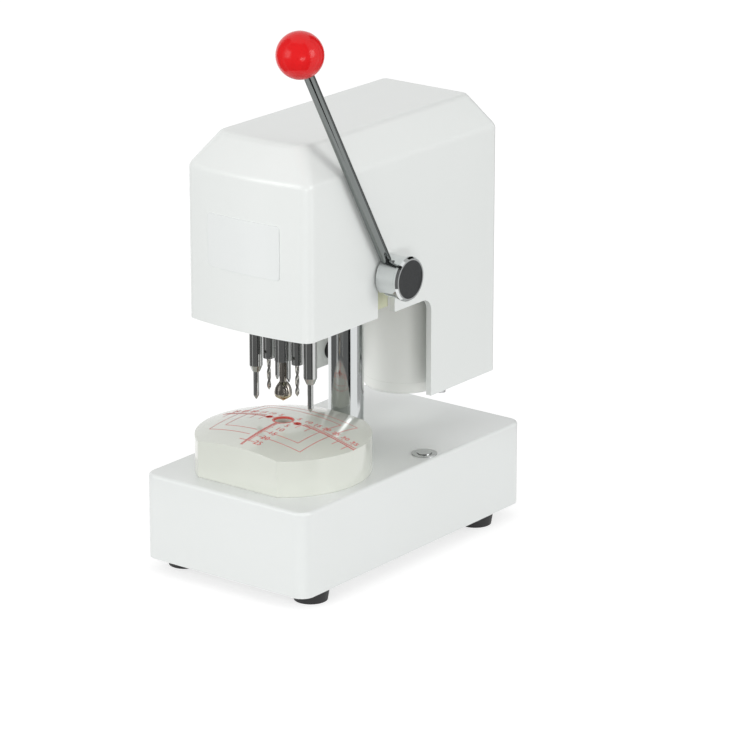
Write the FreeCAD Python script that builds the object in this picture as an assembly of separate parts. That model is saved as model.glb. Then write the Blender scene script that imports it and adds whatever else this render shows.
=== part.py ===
import FreeCAD, Part
import math
import os

# A desk paper drill: a box base with a work pad, one chromed column and a covered head that slides down it.
# Millimetres. Z is up and z = 0 is the table. X is the machine's right, where the lever is.
# Y points to the rear.

V = FreeCAD.Vector

# Gaps shared by the fits
running_gap = 0.05
pass_gap = 0.3
open_gap = 1.0

# Two places closer than this are the same place
same_place = 0.001

# Base box
base_width = 150.0
base_depth = 267.0
base_height = 65.2
base_corner = 10.0
base_edge = 2.5
base_wall = 4.0
foot_height = 10.0
foot_recess_depth = 6.0
foot_top_radius = 14.0
foot_bottom_radius = 12.4
foot_half_spacing = 59.0
foot_front_y = -106.0
foot_rear_y = 95.0
bottom_plate_thickness = 3.0
plate_boss_radius = 6.0
plate_boss_inset_x = 32.0
plate_boss_inset_y = 14.0

# Small screws of the base and large screws of the frame
small_screw_radius = 2.0
small_screw_length = 12.0
small_head_radius = 3.6
small_head_height = 2.4
frame_screw_radius = 2.5
frame_screw_length = 20.0
frame_head_radius = 4.2
frame_head_height = 4.0
socket_share = 0.55
socket_sides = 6

# Column, its flange and the rack let into its front
column_radius = 13.25
column_y = 11.7
column_top = 300.0
column_hole_gap = 0.25
column_edge = 1.0
flange_radius = 38.0
flange_thickness = 14.0
column_boss_thickness = 8.0
flange_bolt_circle = 28.0
flange_bolt_radius = 3.0
flange_bolt_depth = 6.0
flange_bolt_head_radius = 5.0
flange_bolt_head_height = 4.5
flange_bolt_count = 4
collar_height = 8.0
collar_radius = 19.0
collar_gap = 2.0
collar_screw_radius = 2.0

# Tooth form shared by the gears and the rack
pressure_angle = 20.0
root_depth_in_modules = 1.25
flank_steps = 5

# Lever gear and rack
rack_inset = 2.8
rack_module = 1.25
pinion_teeth = 22
pinion_width = 10.0
tooth_backlash = 0.16
rack_thickness = 6.0
rack_end_margin = 8.0
rack_screw_inset = 6.0
rack_screw_radius = 1.5
rack_screw_depth = 8.0
rack_screw_head_radius = 2.7
rack_screw_head_height = 1.0
feed_travel = 21.8

# Lever
lever_axis_z = 221.5
lever_tilt = 30.0
lever_length = 211.5
lever_plane_x = 61.5
lever_rod_radius = 4.0
knob_radius = 17.0
knob_socket_depth = 14.0
knob_neck_radius = 6.5
hub_radius = 15.5
hub_inner_x = 57.2
hub_outer_x = 78.0
hub_edge = 1.0
hub_rim_radius = 16.6
hub_rim_width = 3.5
hub_rim_slope = 1.0
hub_face_radius = 15.4
hub_cap_radius = 14.2
hub_cap_thickness = 2.5
hub_cap_rise = 0.6
hub_bore_depth = 15.0
hub_screw_radius = 1.4
hub_screw_x = 67.8
rod_seat_radius = 7.0
shaft_radius = 6.0
shaft_left_x = -30.0
circlip_thickness = 1.2
circlip_depth = 1.0
circlip_rim = 2.2
circlip_mouth_half_width = 3.6

# Head frame
carriage_half_width = 24.0
carriage_front_y = -30.0
carriage_rear_y = 32.0
carriage_bottom_z = 192.0
carriage_top_z = 252.0
column_bush_wall = 2.75
column_bush_length = 13.0
pinion_side_gap = 2.0
shaft_bush_wall = 2.0
bracket_flange = 6.0
bracket_face_x = 50.0
bracket_boss_radius = 11.0
bracket_web = 6.0
bracket_web_half_width = 9.5
bracket_margin = 2.0
frame_plate_thickness = 6.0
frame_plate_half_width = 36.0
frame_plate_front_y = -86.0
frame_plate_rear_y = 112.0
frame_plate_corner = 8.0
return_wire = 2.0
return_coil_radius = 15.4
return_turns = 12

# Spindle group, seen as one row of tools
row_y = -62.9
gear_module = 0.6
spindle_teeth = 22
gear_backlash = 0.08
gear_width = 8.0
gear_bottom_z = 225.0
pin_offset = 25.3
gearbox_half_width = 36.0
gearbox_front_y = -84.0
gearbox_top_z = 244.0
gear_tip_gap = 0.5
gear_end_gap = 1.0
spindle_radius = 4.2
spindle_bottom_z = 166.0
spindle_bush_wall = 1.7
spindle_bush_bottom_z = 204.0
spindle_bush_length = 16.0
upper_bearing_radius = 8.0
upper_bearing_width = 6.0
holder_radius = 4.15
holder_bottom_z = 157.6
holder_neck_radius = 3.0
holder_neck_z = 222.0
holder_screw_z = 163.0
holder_screw_radius = 1.2
upper_bush_wall = 1.8
sleeve_radius = 6.15
sleeve_bore_radius = 4.7
sleeve_bottom_z = 158.0
sleeve_seat = 8.0
tang_tip_z = 142.6
tang_width = 3.4

# Cutting tools
drill_radius = 1.55
drill_tip_z = 132.7
drill_point = 1.0
drill_seat = 14.0
flute_depth = 0.85
flute_turns = 2.0
cutter_shank_radius = 2.4
cutter_tip_z = 127.1
cutter_top_z = 143.8
cutter_seat = 16.0
cutter_notch = 1.1

# Radius and height above the tip of the bit's corners, from the tip to just under its shank
cutter_profile = [(0.0, 0.0), (2.7, 2.0), (5.5, 4.9), (6.4, 7.1), (5.8, 10.7), (3.7, 14.1)]

# Hold-down pins
barrel_radius = 5.0
barrel_bottom_z = 149.7
barrel_nose_z = 145.0
barrel_nose_radius = 3.0
barrel_top_z = 214.0
barrel_plug = 5.0
barrel_bore_radius = 3.5
pin_radius = 2.15
pin_tip_z = 123.5
pin_tip_radius = 0.43
pin_point = 3.0
pin_shoulder_z = 165.0
pin_head_height = 5.0
pin_spring_wire = 0.7
pin_spring_turns = 12

# Pulleys and belt
spindle_pulley_radius = 26.0
motor_pulley_radius = 20.0
pulley_width = 10.0
pulley_lip = 3.6
pulley_lip_thickness = 1.5
pulley_rise = 4.6
belt_thickness = 3.0
belt_side_gap = 0.5

# Motor
motor_y = 82.0
motor_radius = 30.0
motor_bottom_z = 103.5
motor_cap_height = 9.0
motor_top_cap_height = 20.0
motor_cap_edge = 3.0
motor_band_z = 178.0
motor_band_rise = 0.8
motor_shaft_radius = 4.0
motor_screw_circle = 22.0

# Cover
cover_half_width = 56.0
cover_front_y = -108.6
cover_rear_y = 123.3
cover_wall = 4.5
cover_bow_radius = 264.0
cover_corner = 8.0
cover_rear_corner = 4.0
cover_inner_corner = 3.5
cover_front_bottom_z = 190.6
cover_rear_bottom_z = 114.4
cover_step_y = 42.2
cover_step_corner = 10.0
cover_crease_z = 305.5
cover_top_z = 330.3
cover_top_inset_x = 16.7
cover_top_inset_front = 16.4
cover_top_inset_rear = 13.0
cover_top_corner = 13.0
cover_top_rear_corner = 7.0
cover_soft_edge = 7.0
hub_slot_half_width = 10.0
label_width = 65.5
label_height = 40.0
label_thickness = 0.6
label_corner = 3.0
label_z = 254.3
grommet_y = 58.5
grommet_z = 126.0
grommet_hole_radius = 5.0
grommet_rim = 2.0
grommet_lip = 1.5
grommet_bore_radius = 3.2
hanger_y = 72.0
hanger_half_length = 6.0
hanger_thickness = 3.0
hanger_tab = 12.0
cover_screw_radius = 2.0
cover_screw_length = 10.0
cover_screw_head_radius = 4.0
cover_screw_head_height = 7.0

# Work pad
pad_radius = 65.0
pad_front_y = -116.5
pad_rear_y = -5.0
pad_edge_z = 102.5
pad_top_z = 112.5
pad_hole_radius = 7.2
drill_hole_radius = 2.5
insert_radius = 18.0
insert_top_z = 100.5
insert_thickness = 14.0
pad_screw_offset = 40.0

# Push button
button_x = 63.0
button_y = 25.1
bezel_radius = 9.5
bezel_height = 0.8
switch_radius = 6.6
switch_depth = 20.0
button_radius = 5.4
button_rise = 0.5
button_travel = 1.5
button_stem_radius = 3.0
button_stem_length = 14.0
switch_nut_radius = 7.6
switch_nut_height = 3.0

# Places worked out from the sizes above
base_bottom = foot_height
base_top = foot_height + base_height
half_width = base_width / 2
half_depth = base_depth / 2
base_ceiling = base_top - base_wall
boss_bottom = base_ceiling - column_boss_thickness
flange_bottom = boss_bottom - flange_thickness
pinion_radius = rack_module * pinion_teeth / 2
rack_pitch = math.pi * rack_module
column_front_y = column_y - column_radius
lever_axis_y = column_front_y + rack_inset - pinion_radius
rack_face_y = lever_axis_y + pinion_radius
pinion_tip_radius = pinion_radius + rack_module
rack_bottom_z = lever_axis_z - feed_travel - pinion_tip_radius - rack_end_margin
rack_top_z = lever_axis_z + pinion_tip_radius + rack_end_margin
rack_root_depth = root_depth_in_modules * rack_module
rack_head_depth = rack_module + rack_root_depth + rack_screw_head_height
rack_slope = math.tan(math.radians(pressure_angle))
spindle_gap = gear_module * spindle_teeth
cutter_radius = max(radius for radius, height in cutter_profile)
plate_bottom_z = carriage_top_z
plate_top_z = carriage_top_z + frame_plate_thickness
belt_bottom_z = plate_top_z + pulley_rise
pulley_top_z = belt_bottom_z + pulley_width
collar_top_z = column_top - collar_gap
collar_bottom_z = collar_top_z - collar_height
bush_outer_radius = column_radius + running_gap + column_bush_wall
shaft_bush_radius = shaft_radius + running_gap + shaft_bush_wall
motor_top_z = carriage_top_z
tilt = math.radians(lever_tilt)
rod_direction = V(0, -math.sin(tilt), math.cos(tilt))
lever_axis_point = V(lever_plane_x, lever_axis_y, lever_axis_z)


def block(x0, x1, y0, y1, z0, z1):
    return Part.makeBox(x1 - x0, y1 - y0, z1 - z0, V(x0, y0, z0))


def rod_z(radius, z0, z1, x=0.0, y=0.0):
    return Part.makeCylinder(radius, z1 - z0, V(x, y, z0), V(0, 0, 1))


def rod_x(radius, x0, x1, y, z):
    return Part.makeCylinder(radius, x1 - x0, V(x0, y, z), V(1, 0, 0))


def rod_y(radius, y0, y1, x, z):
    return Part.makeCylinder(radius, y1 - y0, V(x, y0, z), V(0, 1, 0))


def cone_z(radius0, radius1, z0, z1, x=0.0, y=0.0):
    return Part.makeCone(radius0, radius1, z1 - z0, V(x, y, z0), V(0, 0, 1))


def tube_z(outer, inner, z0, z1, x=0.0, y=0.0):
    return rod_z(outer, z0, z1, x, y).cut(rod_z(inner, z0, z1, x, y))


def tube_x(outer, inner, x0, x1, y, z):
    return rod_x(outer, x0, x1, y, z).cut(rod_x(inner, x0, x1, y, z))


def join(shapes):
    return shapes[0].fuse(shapes[1:]).removeSplitter()


def rounded_wire(x0, x1, y0, y1, z, front_radius, rear_radius):
    # Corner centres run round from the front left, with the arc that each one starts and ends on.
    corners = [
        (x0 + front_radius, y0 + front_radius, front_radius, 180),
        (x1 - front_radius, y0 + front_radius, front_radius, 270),
        (x1 - rear_radius, y1 - rear_radius, rear_radius, 0),
        (x0 + rear_radius, y1 - rear_radius, rear_radius, 90),
    ]
    edges = []
    ends = []
    for cx, cy, radius, start in corners:
        points = []
        for turn in (0, 45, 90):
            angle = math.radians(start + turn)
            points.append(V(cx + radius * math.cos(angle), cy + radius * math.sin(angle), z))
        edges.append(Part.Arc(*points).toShape())
        ends.append(points)
    outline = []
    for index in range(4):
        outline.append(edges[index])
        following = ends[(index + 1) % 4]
        outline.append(Part.makeLine(ends[index][2], following[0]))
    return Part.Wire(outline)


def rounded_block(x0, x1, y0, y1, z0, z1, front_radius, rear_radius):
    face = Part.Face(rounded_wire(x0, x1, y0, y1, z0, front_radius, rear_radius))
    return face.extrude(V(0, 0, z1 - z0))


def edges_at_z(shape, z):
    found = []
    for edge in shape.Edges:
        box = edge.BoundBox
        if abs(box.ZMin - z) < same_place and abs(box.ZMax - z) < same_place:
            found.append(edge)
    return found


def revolve_profile(points, x, y):
    # Points are (radius, z) pairs, turned about the vertical line through x and y.
    corners = [V(x + radius, y, z) for radius, z in points]
    wire = Part.makePolygon(corners + [corners[0]])
    return Part.Face(wire).revolve(V(x, y, 0), V(0, 0, 1), 360)


def screw(radius, length, head_radius, head_height):
    # Stands on z = 0 under its head, with the shank down and a socket with flat sides in the top.
    shank = rod_z(radius, -length, 0)
    head = rod_z(head_radius, 0, head_height)
    corners = []
    reach = socket_share * head_radius
    for index in range(socket_sides):
        angle = 2 * math.pi * index / socket_sides
        corners.append(V(reach * math.cos(angle), reach * math.sin(angle)))
    socket = Part.Face(Part.makePolygon(corners + [corners[0]])).extrude(V(0, 0, head_height))
    socket.translate(V(0, 0, head_height * socket_share))
    return join([shank, head]).cut(socket)


def small_screw():
    return screw(small_screw_radius, small_screw_length, small_head_radius, small_head_height)


def frame_screw():
    return screw(frame_screw_radius, frame_screw_length, frame_head_radius, frame_head_height)


def flipped(shape):
    turned = shape.copy()
    turned.rotate(V(0, 0, 0), V(1, 0, 0), 180)
    return turned


def placed(shape, x, y, z):
    moved = shape.copy()
    moved.translate(V(x, y, z))
    return moved


def gear_face(module, teeth, backlash):
    # Involute flanks, thinned by half the backlash, with one tooth centred on +Y.
    pitch = module * teeth / 2
    base = pitch * math.cos(math.radians(pressure_angle))
    tip = pitch + module
    root = pitch - root_depth_in_modules * module
    start = max(base, root)
    pitch_roll = math.sqrt((pitch / base) ** 2 - 1)
    half_tooth = math.pi / (2 * teeth) - backlash / (2 * pitch) + pitch_roll - math.atan(pitch_roll)
    flank = []
    for index in range(flank_steps + 1):
        radius = start + (tip - start) * index / flank_steps
        roll = math.sqrt(max((radius / base) ** 2 - 1, 0))
        flank.append((radius, half_tooth - (roll - math.atan(roll))))
    points = []
    for tooth in range(teeth):
        middle = math.pi / 2 + 2 * math.pi * tooth / teeth
        points.append((root, middle - half_tooth))
        points += [(radius, middle - angle) for radius, angle in flank]
        points += [(radius, middle + angle) for radius, angle in reversed(flank)]
        points.append((root, middle + half_tooth))
    corners = []
    for radius, angle in points:
        corner = V(radius * math.cos(angle), radius * math.sin(angle), 0)
        if not corners or corner.distanceToPoint(corners[-1]) > same_place:
            corners.append(corner)
    return Part.Face(Part.makePolygon(corners + [corners[0]]))


def coil(wire, radius, turns, z0, z1, x, y):
    # A round wire spring between two heights, with the wire just inside both.
    height = z1 - z0 - wire
    helix = Part.makeHelix(height / turns, height, radius)
    section = Part.Wire(Part.makeCircle(wire / 2, V(radius, 0, 0), V(0, 1, 0)))
    spring = Part.Wire(helix.Edges).makePipeShell([section], True, True)
    spring.translate(V(x, y, z0 + wire / 2))
    return spring


# The base and what stands in it


def plate_screw_corners():
    reach_x = half_width - plate_boss_inset_x
    reach_y = half_depth - plate_boss_inset_y
    return [(-reach_x, -reach_y), (reach_x, -reach_y), (reach_x, reach_y), (-reach_x, reach_y)]


def foot_points():
    return [(x, y) for x in (-foot_half_spacing, foot_half_spacing) for y in (foot_front_y, foot_rear_y)]


def base_housing():
    shell = rounded_block(
        -half_width, half_width, -half_depth, half_depth, base_bottom, base_top, base_corner, base_corner
    )
    shell = shell.makeFillet(base_edge, edges_at_z(shell, base_top))
    inner_x = half_width - base_wall
    inner_y = half_depth - base_wall
    inner_corner = base_corner - base_wall
    hollow = rounded_block(
        -inner_x, inner_x, -inner_y, inner_y, base_bottom, base_ceiling, inner_corner, inner_corner
    )
    shell = shell.cut(hollow)
    added = [rod_z(flange_radius, boss_bottom, base_ceiling, 0, column_y)]
    plate_top = base_bottom + bottom_plate_thickness
    for x, y in plate_screw_corners():
        added.append(rod_z(plate_boss_radius, plate_top, base_ceiling, x, y))
    shell = join([shell] + added)
    column_hole = column_radius + column_hole_gap
    holes = [rod_z(column_hole, boss_bottom, base_top, 0, column_y)]
    for x, y in flange_bolt_points():
        holes.append(rod_z(flange_bolt_radius, boss_bottom, boss_bottom + flange_bolt_depth, x, y))
    screw_reach = small_screw_length - bottom_plate_thickness
    for x, y in plate_screw_corners():
        holes.append(rod_z(small_screw_radius, plate_top, plate_top + screw_reach, x, y))
    for x in (-pad_screw_offset, pad_screw_offset):
        holes.append(rod_z(small_screw_radius, base_ceiling, base_top, x, row_y))
    holes.append(rod_z(switch_radius, base_ceiling, base_top, button_x, button_y))
    return shell.cut(holes)


def bottom_plate():
    inner_x = half_width - base_wall - pass_gap
    inner_y = half_depth - base_wall - pass_gap
    corner = base_corner - base_wall
    top = base_bottom + bottom_plate_thickness
    plate = rounded_block(-inner_x, inner_x, -inner_y, inner_y, base_bottom, top, corner, corner)
    holes = [rod_z(small_screw_radius, base_bottom, top, x, y) for x, y in plate_screw_corners()]
    holes += [rod_z(small_screw_radius, base_bottom, top, x, y) for x, y in foot_points()]
    return plate.cut(holes)


def feet():
    made = []
    for x, y in foot_points():
        foot = cone_z(foot_bottom_radius, foot_top_radius, 0, foot_height, x, y)
        foot = foot.cut(rod_z(small_head_radius + pass_gap, 0, foot_recess_depth, x, y))
        made.append(foot.cut(rod_z(small_screw_radius, 0, foot_height, x, y)))
    return Part.makeCompound(made)


def base_screws():
    made = []
    upward = flipped(small_screw())
    for x, y in plate_screw_corners():
        made.append(placed(upward, x, y, base_bottom))
    for x, y in foot_points():
        made.append(placed(upward, x, y, foot_recess_depth))
    for x in (-pad_screw_offset, pad_screw_offset):
        made.append(placed(upward, x, row_y, base_ceiling))
    return Part.makeCompound(made)


def flange_bolt_points():
    points = []
    for index in range(flange_bolt_count):
        angle = 2 * math.pi * (index + 0.5) / flange_bolt_count
        x = flange_bolt_circle * math.cos(angle)
        points.append((x, column_y + flange_bolt_circle * math.sin(angle)))
    return points


def column_flange():
    plate = rod_z(flange_radius, flange_bottom, boss_bottom, 0, column_y)
    holes = [rod_z(column_radius, flange_bottom, boss_bottom, 0, column_y)]
    for x, y in flange_bolt_points():
        holes.append(rod_z(flange_bolt_radius, flange_bottom, boss_bottom, x, y))
    return plate.cut(holes)


def flange_bolts():
    length = flange_thickness + flange_bolt_depth
    bolt = flipped(screw(flange_bolt_radius, length, flange_bolt_head_radius, flange_bolt_head_height))
    return Part.makeCompound([placed(bolt, x, y, flange_bottom) for x, y in flange_bolt_points()])


def rack_back_y():
    return rack_face_y + rack_thickness


def rack_screw_heights():
    return (rack_bottom_z + rack_screw_inset, rack_top_z - rack_screw_inset)


def column():
    bar = rod_z(column_radius, flange_bottom, column_top, 0, column_y)
    bar = bar.makeChamfer(column_edge, edges_at_z(bar, column_top))
    half = pinion_width / 2
    slot = block(-half, half, column_front_y - open_gap, rack_back_y(), rack_bottom_z, rack_top_z)
    bar = bar.cut(slot)
    holes = []
    for z in rack_screw_heights():
        holes.append(rod_y(rack_screw_radius, rack_back_y(), rack_back_y() + rack_screw_depth, 0, z))
    return bar.cut(holes)


def rack_bar():
    # A tooth gap sits level with the pinion, which has a tooth there.
    half = pinion_width / 2
    half_gap = rack_pitch / 4 + tooth_backlash / 2
    bar = block(-half, half, rack_face_y - rack_module, rack_back_y(), rack_bottom_z, rack_top_z)
    count = int((rack_top_z - lever_axis_z) / rack_pitch) + 1
    low = int((lever_axis_z - rack_bottom_z) / rack_pitch) + 1
    gaps = []
    for index in range(-low, count + 1):
        z = lever_axis_z + index * rack_pitch
        wide = half_gap + (rack_module + open_gap) * rack_slope
        narrow = half_gap - rack_root_depth * rack_slope
        outer_y = rack_face_y - rack_module - open_gap
        inner_y = rack_face_y + rack_root_depth
        if z + wide < rack_bottom_z or z - wide > rack_top_z:
            continue
        corners = [
            V(-half, outer_y, z - wide),
            V(-half, inner_y, z - narrow),
            V(-half, inner_y, z + narrow),
            V(-half, outer_y, z + wide),
        ]
        gaps.append(Part.Face(Part.makePolygon(corners + [corners[0]])).extrude(V(pinion_width, 0, 0)))
    bar = bar.cut(gaps)
    holes = []
    front = rack_face_y - rack_module
    for z in rack_screw_heights():
        holes.append(rod_y(rack_screw_radius, front, rack_back_y(), 0, z))
        holes.append(rod_y(rack_screw_head_radius, front, front + rack_head_depth, 0, z))
    return bar.cut(holes)


def rack_screws():
    made = []
    seat = rack_face_y - rack_module + rack_head_depth
    for z in rack_screw_heights():
        shank = rod_y(rack_screw_radius, seat, rack_back_y() + rack_screw_depth, 0, z)
        head = rod_y(rack_screw_head_radius, seat - rack_screw_head_height, seat, 0, z)
        made.append(join([shank, head]))
    return Part.makeCompound(made)


def stop_collar():
    ring = tube_z(collar_radius, column_radius, collar_bottom_z, collar_top_z, 0, column_y)
    middle = (collar_bottom_z + collar_top_z) / 2
    surface = column_y + column_radius
    return ring.cut(rod_y(collar_screw_radius, surface, column_y + collar_radius, 0, middle))


def return_spring():
    return coil(return_wire, return_coil_radius, return_turns, plate_top_z, collar_bottom_z, 0, column_y)


def dome_sphere(radius, drop):
    sphere_radius = (radius ** 2 + drop ** 2) / (2 * drop)
    return Part.makeSphere(sphere_radius, V(0, row_y, pad_top_z - sphere_radius))


def work_pad():
    drum = rod_z(pad_radius, base_top, pad_top_z, 0, row_y)
    keep = block(-pad_radius, pad_radius, pad_front_y, pad_rear_y, base_top, pad_top_z)
    pad = drum.common(keep).common(dome_sphere(pad_radius, pad_top_z - pad_edge_z))
    insert_pocket = rod_z(insert_radius, base_top, insert_top_z, 0, row_y)
    holes = [insert_pocket, rod_z(pad_hole_radius, base_top, pad_top_z, 0, row_y)]
    for x in (-spindle_gap, spindle_gap):
        holes.append(rod_z(drill_hole_radius, base_top, pad_top_z, x, row_y))
    screw_top = base_ceiling + small_screw_length
    for x in (-pad_screw_offset, pad_screw_offset):
        holes.append(rod_z(small_screw_radius, base_top, screw_top, x, row_y))
    return pad.cut(holes)


def pad_insert():
    return rod_z(insert_radius, insert_top_z - insert_thickness, insert_top_z, 0, row_y)


def insert_support():
    # A spacer fills the pad's pocket under the cutting disc.
    return rod_z(insert_radius, base_top, insert_top_z - insert_thickness, 0, row_y)


def switch_bezel():
    well_radius = button_radius + pass_gap
    flange = tube_z(bezel_radius, well_radius, base_top, base_top + bezel_height, button_x, button_y)
    bottom = base_top - switch_depth
    barrel = rod_z(switch_radius, bottom, base_top, button_x, button_y)
    well_floor = base_top - button_travel - base_wall
    well = rod_z(well_radius, well_floor, base_top, button_x, button_y)
    stem_hole = rod_z(button_stem_radius + running_gap, bottom, base_top, button_x, button_y)
    return join([flange, barrel.cut([well, stem_hole])])


def switch_nut():
    return tube_z(
        switch_nut_radius, switch_radius, base_ceiling - switch_nut_height, base_ceiling, button_x, button_y
    )


def button_cap():
    top = base_top + bezel_height + button_rise
    head = rod_z(button_radius, base_top, top, button_x, button_y)
    stem = rod_z(button_stem_radius, base_top - button_stem_length, base_top, button_x, button_y)
    return join([head, stem])


# The head's cover


def bowed_block(half, front, rear, low, high, front_radius, rear_radius, bow_radius):
    # An upright block whose front wall bows forward between its corners.
    side_y = front + bow_radius - math.sqrt(bow_radius ** 2 - half ** 2)
    left, middle, right = V(-half, side_y, low), V(0, front, low), V(half, side_y, low)
    rear_right, rear_left = V(half, rear, low), V(-half, rear, low)
    outline = [
        Part.Arc(left, middle, right).toShape(),
        Part.makeLine(right, rear_right),
        Part.makeLine(rear_right, rear_left),
        Part.makeLine(rear_left, left),
    ]
    solid = Part.Face(Part.Wire(outline)).extrude(V(0, 0, high - low))
    for radius, y in ((front_radius, side_y), (rear_radius, rear)):
        edges = []
        for edge in solid.Edges:
            box = edge.BoundBox
            upright = box.ZMax - box.ZMin > same_place
            if upright and abs(box.YMin - y) < same_place and abs(box.YMax - y) < same_place:
                edges.append(edge)
        solid = solid.makeFillet(radius, edges)
    return solid


def wire_at_z(solid, z):
    for face in solid.Faces:
        if abs(face.BoundBox.ZMin - z) < same_place and abs(face.BoundBox.ZMax - z) < same_place:
            return face.OuterWire


def cover_solid(shrink, corner, rear_corner):
    # The outer form for shrink = 0 and the cavity for shrink = the wall.
    half = cover_half_width - shrink
    front = cover_front_y + shrink
    rear = cover_rear_y - shrink
    bow = cover_bow_radius - shrink
    crease = cover_crease_z - shrink / 2
    top = cover_top_z - shrink
    body = bowed_block(half, front, rear, cover_rear_bottom_z, crease, corner, rear_corner, bow)
    inset = cover_top_inset_front - shrink / 2
    lid = bowed_block(
        half - cover_top_inset_x + shrink / 2,
        front + inset,
        rear - cover_top_inset_rear + shrink / 2,
        crease,
        top,
        cover_top_corner,
        cover_top_rear_corner,
        bow - inset,
    )
    roof = Part.makeLoft([wire_at_z(body, crease), wire_at_z(lid, top)], True, True)
    return body.fuse(roof).removeSplitter()


def cover_step():
    # What is cut away under the front part, with its inner corner rounded.
    step = block(
        -cover_half_width,
        cover_half_width,
        cover_front_y,
        cover_step_y,
        cover_rear_bottom_z,
        cover_front_bottom_z,
    )
    edges = []
    for edge in step.Edges:
        box = edge.BoundBox
        if box.YMin > cover_step_y - same_place and box.ZMin > cover_front_bottom_z - same_place:
            edges.append(edge)
    return step.makeFillet(cover_step_corner, edges)


def cover():
    outer = cover_solid(0.0, cover_corner, cover_rear_corner)
    soft = edges_at_z(outer, cover_top_z) + edges_at_z(outer, cover_crease_z)
    outer = outer.makeFillet(cover_soft_edge, soft)
    shell = outer.cut(cover_solid(cover_wall, cover_inner_corner, cover_inner_corner))
    shell = shell.cut(cover_step())
    ledges = []
    inner = cover_half_width - cover_wall
    for side in (-1, 1):
        x0, x1 = sorted((side * (inner - hanger_tab), side * inner))
        ledges.append(
            block(
                x0,
                x1,
                hanger_y - hanger_half_length,
                hanger_y + hanger_half_length,
                cover_rear_bottom_z,
                cover_rear_bottom_z + cover_wall,
            )
        )
    shell = join([shell] + ledges)
    slot = block(
        inner - open_gap,
        cover_half_width + open_gap,
        lever_axis_y - hub_slot_half_width,
        lever_axis_y + hub_slot_half_width,
        cover_front_bottom_z - open_gap,
        lever_axis_z,
    )
    slot_end = rod_x(
        hub_slot_half_width, inner - open_gap, cover_half_width + open_gap, lever_axis_y, lever_axis_z
    )
    cable_hole = rod_x(grommet_hole_radius, -cover_half_width, -inner, grommet_y, grommet_z)
    screw_holes = []
    for x in cover_screw_places():
        screw_holes.append(
            rod_z(cover_screw_radius, cover_rear_bottom_z, cover_rear_bottom_z + cover_wall, x, hanger_y)
        )
    return shell.cut([slot, slot_end, cable_hole] + screw_holes)


def cover_screw_places():
    reach = cover_half_width - cover_wall - hanger_thickness - hanger_tab / 2
    return (-reach, reach)


def cover_screws():
    made = []
    one = flipped(
        screw(cover_screw_radius, cover_screw_length, cover_screw_head_radius, cover_screw_head_height)
    )
    for x in cover_screw_places():
        made.append(placed(one, x, hanger_y, cover_rear_bottom_z))
    return Part.makeCompound(made)


def hanger_x():
    return cover_half_width - cover_wall - pass_gap


def cover_hangers():
    made = []
    bottom = cover_rear_bottom_z + cover_wall
    outer = hanger_x()
    front = hanger_y - hanger_half_length
    rear = hanger_y + hanger_half_length
    for side in (-1, 1):
        x0, x1 = sorted((side * (outer - hanger_thickness), side * outer))
        t0, t1 = sorted((side * (outer - hanger_thickness - hanger_tab), side * outer))
        strap = block(x0, x1, front, rear, bottom, plate_bottom_z)
        foot = block(t0, t1, front, rear, bottom, bottom + hanger_thickness)
        head = block(t0, t1, front, rear, plate_bottom_z - hanger_thickness, plate_bottom_z)
        hanger = join([strap, foot, head])
        x = side * cover_screw_places()[1]
        hole = rod_z(cover_screw_radius, bottom, bottom + hanger_thickness, x, hanger_y)
        upper_hole = rod_z(
            frame_screw_radius, plate_bottom_z - hanger_thickness, plate_bottom_z, x, hanger_y
        )
        made.append(hanger.cut([hole, upper_hole]))
    return Part.makeCompound(made)


def label_plate():
    # A thin plate that lies on the cover's bowed front.
    x = label_width / 2
    low = label_z - label_height / 2
    high = label_z + label_height / 2
    centre_y = cover_front_y + cover_bow_radius
    blank = block(-x, x, cover_front_y - label_thickness, cover_front_y + cover_wall, low, high)
    edges = []
    for edge in blank.Edges:
        box = edge.BoundBox
        if box.YMax - box.YMin > label_thickness:
            edges.append(edge)
    blank = blank.makeFillet(label_corner, edges)
    ring = tube_z(cover_bow_radius + label_thickness, cover_bow_radius, low, high, 0, centre_y)
    return blank.common(ring)


def cord_grommet():
    inner = cover_half_width - cover_wall
    neck = rod_x(grommet_hole_radius, -cover_half_width, -inner, grommet_y, grommet_z)
    rim = grommet_hole_radius + grommet_rim
    outside = rod_x(rim, -cover_half_width - grommet_lip, -cover_half_width, grommet_y, grommet_z)
    inside = rod_x(rim, -inner, -inner + grommet_lip, grommet_y, grommet_z)
    bore = rod_x(
        grommet_bore_radius, -cover_half_width - grommet_lip, -inner + grommet_lip, grommet_y, grommet_z
    )
    return join([neck, outside, inside]).cut(bore)


# The head's frame


def carriage_screw_points():
    x = carriage_half_width - frame_head_radius - open_gap
    inset = frame_head_radius + open_gap
    return [(-x, carriage_rear_y - inset), (x, carriage_rear_y - inset)]


def gearbox_screw_points():
    x = gearbox_half_width - frame_head_radius
    rows = (gearbox_front_y + frame_head_radius, carriage_front_y - 2 * frame_head_radius)
    return [(side * x, y) for side in (-1, 1) for y in rows]


def motor_screw_points():
    points = []
    for angle in (0, 90, 180, 270):
        turn = math.radians(angle)
        points.append((motor_screw_circle * math.cos(turn), motor_y + motor_screw_circle * math.sin(turn)))
    return points


def plate_screw_points():
    hangers = [(x, hanger_y) for x in cover_screw_places()]
    return carriage_screw_points() + gearbox_screw_points() + motor_screw_points() + hangers


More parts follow.
